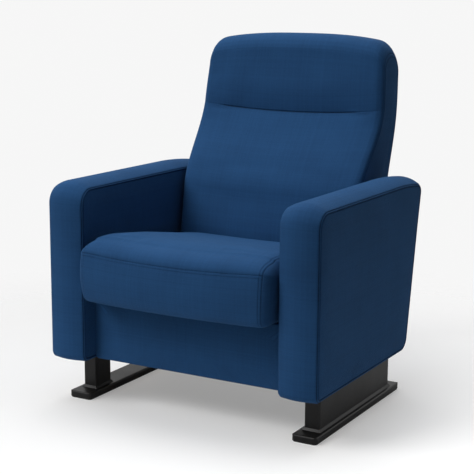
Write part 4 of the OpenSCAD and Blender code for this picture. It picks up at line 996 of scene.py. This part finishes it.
def seatForm():
    # Cross-sections from side to side: under the cushion, up the rear, over the top and down the rolled
    # front
    half = seat["half"]
    inner = half - seat["tip"]
    second = seat["cornerSeam"] - seat["stitchOff"]
    t = stops(inner, seat["spacing"], (-seat["cornerSeam"], -second, second, seat["cornerSeam"]))
    tips = inner + seat["tip"] * np.sin(np.radians(np.array(seat["tipTurns"])))
    a = np.concatenate([-tips[::-1], t, tips])
    size = np.abs(a)
    u = (size / half)[:, None]
    nose, draw, end = (pullIn(size, half, seat[key])[:, None]
                       for key in ("cornerRadius", "endRadius", "footEnd"))
    draw = draw * seat["drawShare"]
    y0 = seat["front"] - seat["bulge"] * (1 - u * u) + nose
    y1 = seat["rear"] - nose * seat["rearDraw"]
    z0 = seat["low"] + end * seat["footShare"] + seat["footRise"] * u ** seat["footPower"]
    rise = seat["crown"] * np.maximum(0, 1 - u ** seat["sidePower"]) ** seat["liftPower"] + seat["crownLeast"]
    seamZ = seat["seam"] + seat["seamRise"] * u * u - draw
    rollY = y0 + seat["tuck"] + seat["roll"]
    rearR, hem, (footY, footZ) = seat["rearRadius"], seat["hem"], seat["foot"]
    backY = y1 + backLean * (sideSeamZ(y1, u) + rise - rearR - seat["low"] - seat["leanFrom"]) - rearR
    footC = y0 + seat["tuck"] / 2 + footY
    topRear = sideSeamZ(backY, u) - draw + rise
    eighths = [np.linspace(first, first + 45, 5)[1:] for first in (0, 45)]
    parts = [arcPoints(footC, z0 + footZ, footY, footZ, np.linspace(225, 270, 5)),
             linePoints(footC, z0, y1 - hem, z0, seat["bottomRows"]),
             arcPoints(y1 - hem, z0 + hem, hem, hem, np.linspace(270, 315, 4)[1:]),
             arcPoints(y1 - hem, z0 + hem, hem, hem, np.linspace(315, 360, 4)[1:]),
             linePoints(y1, z0 + hem, backY + rearR, topRear - rearR, seat["rearRows"]),
             arcPoints(backY, topRear - rearR, rearR, rearR, eighths[0]),
             arcPoints(backY, topRear - rearR, rearR, rearR, eighths[1])]
    sizes = [part.shape[1] for part in parts]
    p, q = sum(sizes[:3]) - 1, sum(sizes[3:6])
    topRows = p - sizes[6] - len(seat["rollFirst"])
    yTop = onwards(backY, rollY, topRows)
    nearSeam = np.degrees(np.array(seat["nearSeam"]) / seat["seamRadius"])
    rollLast = np.concatenate([seat["rollLast"], 180 - nearSeam, [180]])
    parts += [np.stack([yTop, sideSeamZ(yTop, u) - draw + rise], -1),
              arcPoints(rollY, seamZ, seat["roll"], rise, np.array(seat["rollFirst"])),
              arcPoints(rollY, seamZ, seat["roll"], rise, rollLast)]
    seamIndex = sum(part.shape[1] for part in parts) - 1
    # down the face, closer together at the seam
    face = seamZ - z0
    nearFace = np.array(seat["nearFace"])[None] / face
    faceRows = q - len(rollLast) - seat["hemRows"] - nearFace.shape[1]
    shares = 1 - np.concatenate([nearFace, onwards(nearFace[:, -1:], 1 - footZ / face, faceRows)], 1)
    parts += [np.stack([y0 + seat["tuck"] * (2 * shares - 1) ** 2, z0 + face * shares], -1),
              arcPoints(footC, z0 + footZ, footY, footZ, np.linspace(180, 225, seat["hemRows"] + 1)[1:-1])]
    ring = np.concatenate(parts, 1)
    # the ends draw in towards the bottom
    endShare = np.clip((size - seat["pullFrom"]) / (half - seat["pullFrom"]), 0, 1) ** 2 * np.sign(a)
    across = a[:, None] - seat["footPull"] * endShare[:, None] * easeIn(
        (seat["pullBelow"] - ring[:, :, 1]) / seat["pullOver"])
    return np.concatenate([across[:, :, None], ring], 2), a, p, q, seamIndex, sum(sizes[:6])


def seatCapAt(points, normals):
    top, side, other = seat["caps"]
    cap = np.where(np.abs(normals[:, 0]) > 0.75, side, top)
    return np.where((normals[:, 1] > 0.6) | (normals[:, 2] < -0.6), other, cap)


def makeSeat():
    rings, a, p, q, seam, spanFirst = seatForm()
    m, n = rings.shape[:2]
    cover = pillow("seatPadding", rings, p, q)
    corner = seat["cornerSeam"]
    inside = np.abs(a) <= corner + 0.1
    span = np.arange(spanFirst, n)
    lines = [rings[nearest(a, s * corner)][np.append(span, 0)] for s in (-1, 1)]
    inflate(cover, lines + [rings[inside, seam], rings[:, 4]], seatCapAt)
    onTop = (np.arange(n) >= spanFirst) | (np.arange(n) == 0)
    along = np.concatenate([np.zeros((m, 1)), np.cumsum(distances(rings, 1), 1)], 1)
    marks = sum(seamMarks(s * a - corner, cornerSeam)[:, :, None] for s in (-1, 1)) * onTop
    marks = marks + seamMarks(along - along[:, seam:seam + 1], frontSeam) * inside[:, None]
    points, normals = sinkSeams(cover, marks)
    index = [nearest(a, s * (corner - seat["stitchOff"])) * n + span for s in (-1, 1)]
    index.append(np.nonzero(inside)[0] * n + seam + seat["stitchRow"])
    y0, y1, z1 = (seatHollow[key] for key in ("front", "rear", "high"))
    z0 = seat["low"] - seatHollow["below"]
    drop = math.tan(math.radians(seatHollow["fall"])) * (y1 - y0)
    outline = [(y0, z0), (y1, z0), (y1, z1 - drop), (y0, z1)]
    cut(cover, [prism("seatCore", -seatHollow["half"], seatHollow["half"], outline)])
    dress(cover, "seat", ["seat_cover"], "blue_fabric")
    addStitches("seatStitches", [(points[row], normals[row]) for row in index], "seat")
    print("cushion made")


# Straps and springs

seatStraps = {"crossAt": (-259.2, -155.5, -51.9, 51.8), "alongAt": (-173.0, -57.7, 57.7, 173.0),
              "middleZ": 307.45, "across": (-222.5, 222.5), "lengthwise": (-308.5, 101.3), "waveEnd": 205.0,
              "weave": 1.15, "rows": 90, "section": (50.0, 1.9)}
backStraps = {"count": 7, "first": 367.7, "pitch": 59.25, "half": 237.2, "y": 295.45, "rows": 60,
              "section": (49.6, 1.8)}
springForm = {"meanRadius": 11.0, "wire": 1.5, "turns": 11, "front": -150.5, "length": 115.6, "x": 90.0,
              "z": 190.0, "closed": 4.8, "keep": 0.64, "perTurn": 26, "sides": 10}


def makeSeatStraps():
    # Each strap goes over one crossing strap and under the next: its height is a cosine of the place
    # along it
    form = seatStraps
    pieces = []
    for axis, ends, own, crossing, waveEnd in ((0, "across", "crossAt", "alongAt", form["waveEnd"]),
                                               (1, "lengthwise", "alongAt", "crossAt", math.inf)):
        first, second = form[crossing][:2]
        for number, place in enumerate(form[own]):
            path = np.empty((form["rows"], 3))
            along = np.linspace(*form[ends], form["rows"])
            phase = np.pi * (along - first) / (second - first) + np.pi * (number + axis)
            path[:, axis], path[:, 1 - axis] = along, place
            path[:, 2] = form["middleZ"] + form["weave"] * np.cos(phase) * (np.abs(along) < waveEnd)
            up = np.tile([0.0, 0, 1], (len(path), 1))
            pieces.append(sweep("strap", path, up, flatSection(*form["section"])))
    dress(join("seatStraps", pieces), "seat", ["seat_webbing"], "webbing")


def makeBackStraps():
    form, lean = backStraps, math.radians(back["rake"])
    pieces = []
    for row in range(form["count"]):
        z = form["first"] + row * form["pitch"]
        x = np.linspace(-form["half"], form["half"], form["rows"])
        path = np.stack([x, 0 * x + form["y"] + backLean * (z - form["first"]), 0 * x + z], 1)
        ahead = np.tile([0, -math.cos(lean), math.sin(lean)], (len(x), 1))
        pieces.append(sweep("strap", path, ahead, flatSection(*form["section"])))
    dress(join("backStraps", pieces), "back", ["back_webbing"], "webbing")


def makeSprings():
    # A helix with a smaller pitch over its first and last turn, where the coils lie nearly closed
    form, turns = springForm, springForm["turns"]
    s = np.linspace(0, turns, turns * form["perTurn"] + 1)
    wire, closed = form["wire"], form["closed"]
    travel = form["length"] - 2 * wire
    y = form["front"] + wire + np.interp(s, [0, 1, turns - 1, turns], [0, closed, travel - closed, travel])
    angle = 2 * math.pi * s
    out = np.stack([np.cos(angle), 0 * s, np.sin(angle)], 1)
    for side, name in ((-1, "left"), (1, "right")):
        path = out * form["meanRadius"] + np.stack([0 * s + side * form["x"], y, 0 * s + form["z"]], 1)
        piece = sweep(name + "Spring", path, out, roundSection(wire, form["sides"]))
        dress(piece, "base", [name + "_return_spring"], "spring_steel")
        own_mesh(piece)


# Apron and rear panel: flat upholstered boards

board = {"rim": (0.6, 2, 5, 10, 18, 30), "swellReach": 14.0, "rear": ((8, 0), (3, 0), (0.6, 0), (0, 0.6)),
         "arcSteps": 5}
apron = {"half": 278.0, "face": -248.0, "rear": -233.2, "low": 117.0, "high": 281.0,
         "radii": (10.0, 10.0, 4.0, 4.0), "edge": 4.0, "crown": 1.6, "straights": (60, 20, 60, 20),
         "core": ((-275, -245, 120), (275, -231, 278))}
rearPanel = {"half": 261.0, "low": 190.0, "high": 880.0, "thick": 7.6, "radii": (12.0, 12.0, 42.0, 42.0),
             "edge": 3.4, "crown": 1.4, "straights": (50, 70, 50, 70), "stand": 0.2, "piping": 2.6,
             "pipingInset": 0.4, "pipingDepth": 2.3, "pipingSteps": (8, (60, 80, 60, 80))}


def plate(name, form, low, high, depth):
    # The board's outline in (across, up), carried through its depth with a rounded front edge and swelling
    # towards the middle of the face. Local places are (depth, across, up)
    half, edge = form["half"], form["edge"]
    corners = [(-half, low), (half, low), (half, high), (-half, high)]
    turn = np.radians(np.linspace(0, 90, 6)[1:])
    rim, rear = np.array(board["rim"]), np.array(board["rear"])
    inset = np.concatenate([rear[:, 0], edge * (1 - np.cos(turn)), edge + rim])
    through = np.concatenate([rear[:, 1], depth - edge + edge * np.sin(turn),
                              depth + form["crown"] * (1 - np.exp(-rim / board["swellReach"]))])
    outline, _ = insetOutline(corners, form["radii"], inset, board["arcSteps"], form["straights"])
    deep = np.broadcast_to(through[:, None, None], outline.shape[:2] + (1,))
    sides = (2 * board["arcSteps"] + count for count in form["straights"][:2])
    return pillow(name, np.concatenate([deep, outline], 2), *sides), corners


def makeApron():
    piece, _ = plate("apronPadding", apron, apron["low"], apron["high"], apron["rear"] - apron["face"])
    # its depth runs to -Y and its width to +X
    local = coordinates(piece.data)
    setCoordinates(piece.data, np.stack([local[:, 1], apron["rear"] * mm - local[:, 0], local[:, 2]], 1))
    cut(piece, [boxSolid("apronCore", *apron["core"])])
    dress(piece, "base", ["apron_cover"], "blue_fabric")


def makeRearPanel():
    form, low, lean = rearPanel, rearPanel["low"], math.radians(back["rake"])
    piece, corners = plate("rearPanelPadding", form, 0, (form["high"] - low) / backSquare, form["thick"])
    foot = np.array([0, rearAt(low, back["panel"]) + form["stand"], low])
    turned = np.array([[0, math.cos(lean), -math.sin(lean)], [-1.0, 0, 0],
                       [0, math.sin(lean), math.cos(lean)]])
    setCoordinates(piece.data, (foot + coordinates(piece.data) / mm @ turned) * mm)
    dress(piece, "back", ["back_rear_panel"], "blue_panel_fabric")
    outline, normal = insetOutline(corners, form["radii"], form["pipingInset"], *form["pipingSteps"])
    path = foot + np.insert(outline[0], 0, form["pipingDepth"], 1) @ turned
    out = np.insert(normal, 0, 0, 1) @ turned
    dress(sweep("rearPanelPiping", path, out, roundSection(form["piping"], 10), True), "back", [],
          "blue_panel_fabric")


# Foam inside the covers

foam = {"voxel": 4.5, "factor": 0.5, "iterations": 9, "fill": 0.95, "bodies": {
    "seat_foam": "seat", "back_foam": "back", "headrest_foam": "back", "left_arm_foam": "base",
    "right_arm_foam": "base"}}


def makeFoam(nodeName, body):
    # Moulded foam: the node's space with its corners rounded off by a voxel skin, smoothed
    work = copyOf(nodes[nodeName], nodeName + "Work")
    modify(work, "REMESH", mode="VOXEL", voxel_size=foam["voxel"] * mm, use_smooth_shade=True)
    modify(work, "SMOOTH", factor=foam["factor"], iterations=foam["iterations"])
    mesh = bpy.data.meshes.new_from_object(evaluated(work))
    bpy.data.objects.remove(work)
    first, *others = nodeName.split("_")
    name = first + "".join(word.capitalize() for word in others) + "Block"
    dress(linked(bpy.data.objects.new(name, mesh)), body, [nodeName], "seat_foam_pad")


makeArms()
makeBack()
makeSeat()
makeApron()
makeRearPanel()
makeSeatStraps()
makeBackStraps()
makeSprings()
for foamNode, foamBody in foam["bodies"].items():
    makeFoam(foamNode, foamBody)
print("straps, springs, panels and foam made")


# Floor and light

stage = {"reach": 9.0, "rows": 160, "floor": 0.8, "seenFloor": (0.54, 0.84), "seenOver": (-0.6, 0.6),
         "glow": 0.275, "fade": (0.7, 1.7), "backdrop": 0.925, "sky": 1.25, "skyAim": (-0.35, 0.5, 0.79),
         "skyPower": 3.0}
lights = {"keyLight": {"at": (-1.9, -2.6, 3.3), "aim": (0, 0, 0.5), "size": 2.2, "power": 115},
          "frontLight": {"at": (-0.9, -4.4, 1.5), "aim": (0, 0, 0.5), "size": 2.4, "power": 15},
          "topLight": {"at": (-0.2, 0.2, 3.8), "aim": (0, 0.1, 0.4), "size": 2.2, "power": 54},
          "sideLight": {"at": (3.3, 0.7, 1.5), "aim": (0, 0, 0.5), "size": 1.6, "power": 7}}


def mapRange(value, target, source=(0.0, 1.0), **settings):
    # a value's range mapped to the target's two ends, each a number or another value
    inputs = {"Value": value, "From Min": source[0], "From Max": source[1], "To Min": target[0],
              "To Max": target[1]}
    return result(value.output.id_data, "MapRange", inputs, **settings)


def mixedShader(tree, share, first, second, output):
    mixed = node(tree, "MixShader", {0: share, 1: shaderValue(first.outputs[0]),
                                               2: shaderValue(second.outputs[0])})
    feed(output, {0: shaderValue(mixed.outputs[0])})


def makeStage():
    # A wide pale floor that fades into the backdrop. Towards the camera it evens out the light's fall from
    # left to right, and glows a little. The light that it gives back to the seat is its plain white's
    reach, n = stage["reach"], stage["rows"]
    x, y = np.meshgrid(np.linspace(-reach, reach, n), np.linspace(-reach, reach, n), indexing="ij")
    points = np.stack([x, y, np.zeros_like(x)], -1).reshape(-1, 3) / mm
    quads = ringFaces(n, n)[2].reshape(n - 1, n, 4)[:, :-1, [0, 3, 2, 1]].reshape(-1, 4)
    floor = meshObject("floor", points, quads.tolist())
    material, shader, place = newMaterial("paleFloor", {
        "Roughness": 0.95, "Specular IOR Level": 0.1, "Emission Color": (1, 1, 1, 1)})
    tree = material.node_tree
    seen = result(tree, "LightPath", {}, "Is Camera Ray")
    across = result(tree, "SeparateXYZ", {0: place})
    tone = mapRange(across, stage["seenFloor"], stage["seenOver"])
    white = mapRange(seen, (stage["floor"], tone))
    feed(shader, {"Base Color": white, "Emission Strength": seen * stage["glow"]})
    away = result(tree, "VectorMath", {0: place}, "Value", operation="LENGTH")
    fade = mapRange(away, (0.0, 1.0), stage["fade"], interpolation_type="SMOOTHSTEP")
    clear = node(tree, "BsdfTransparent", {})
    mixedShader(tree, fade, shader, clear, tree.nodes["Material Output"])
    floor.data.materials.append(material)


def makeWorld():
    # A soft sky, brightest high up behind the seat's left, and a pale backdrop for the camera and for
    # reflections
    world = bpy.data.worlds.new("studio")
    scene.world = world
    world.use_nodes = True
    tree = world.node_tree
    ambient = tree.nodes["Background"]
    direction = result(tree, "TexCoord", {}, "Generated")
    heading = result(tree, "VectorMath", {0: direction, 1: stage["skyAim"]}, "Value",
                     operation="DOT_PRODUCT")
    glow = heading.math("MAXIMUM", 0.0).math("POWER", stage["skyPower"]) * stage["sky"]
    feed(ambient, {0: (1, 1, 1, 1), 1: glow})
    seen = node(tree, "Background", {0: (1, 1, 1, 1), 1: stage["backdrop"]})
    path = node(tree, "LightPath", {})
    camera, glossy, through = (shaderValue(path.outputs["Is %s Ray" % kind])
                               for kind in ("Camera", "Glossy", "Transmission"))
    rays = camera.math("MAXIMUM", glossy.math("MAXIMUM", through))
    mixedShader(tree, rays, ambient, seen, tree.nodes["World Output"])


def makeLight(name, form):
    data = bpy.data.lights.new(name, "AREA")
    data.shape, data.size, data.energy = "SQUARE", form["size"], form["power"]
    light = linked(bpy.data.objects.new(name, data))
    light.location = form["at"]
    light.rotation_euler = (Vector(form["aim"]) - Vector(form["at"])).to_track_quat("-Z", "Y").to_euler()


makeStage()
makeWorld()
for lightName, lightForm in lights.items():
    makeLight(lightName, lightForm)
print("stage and light set")
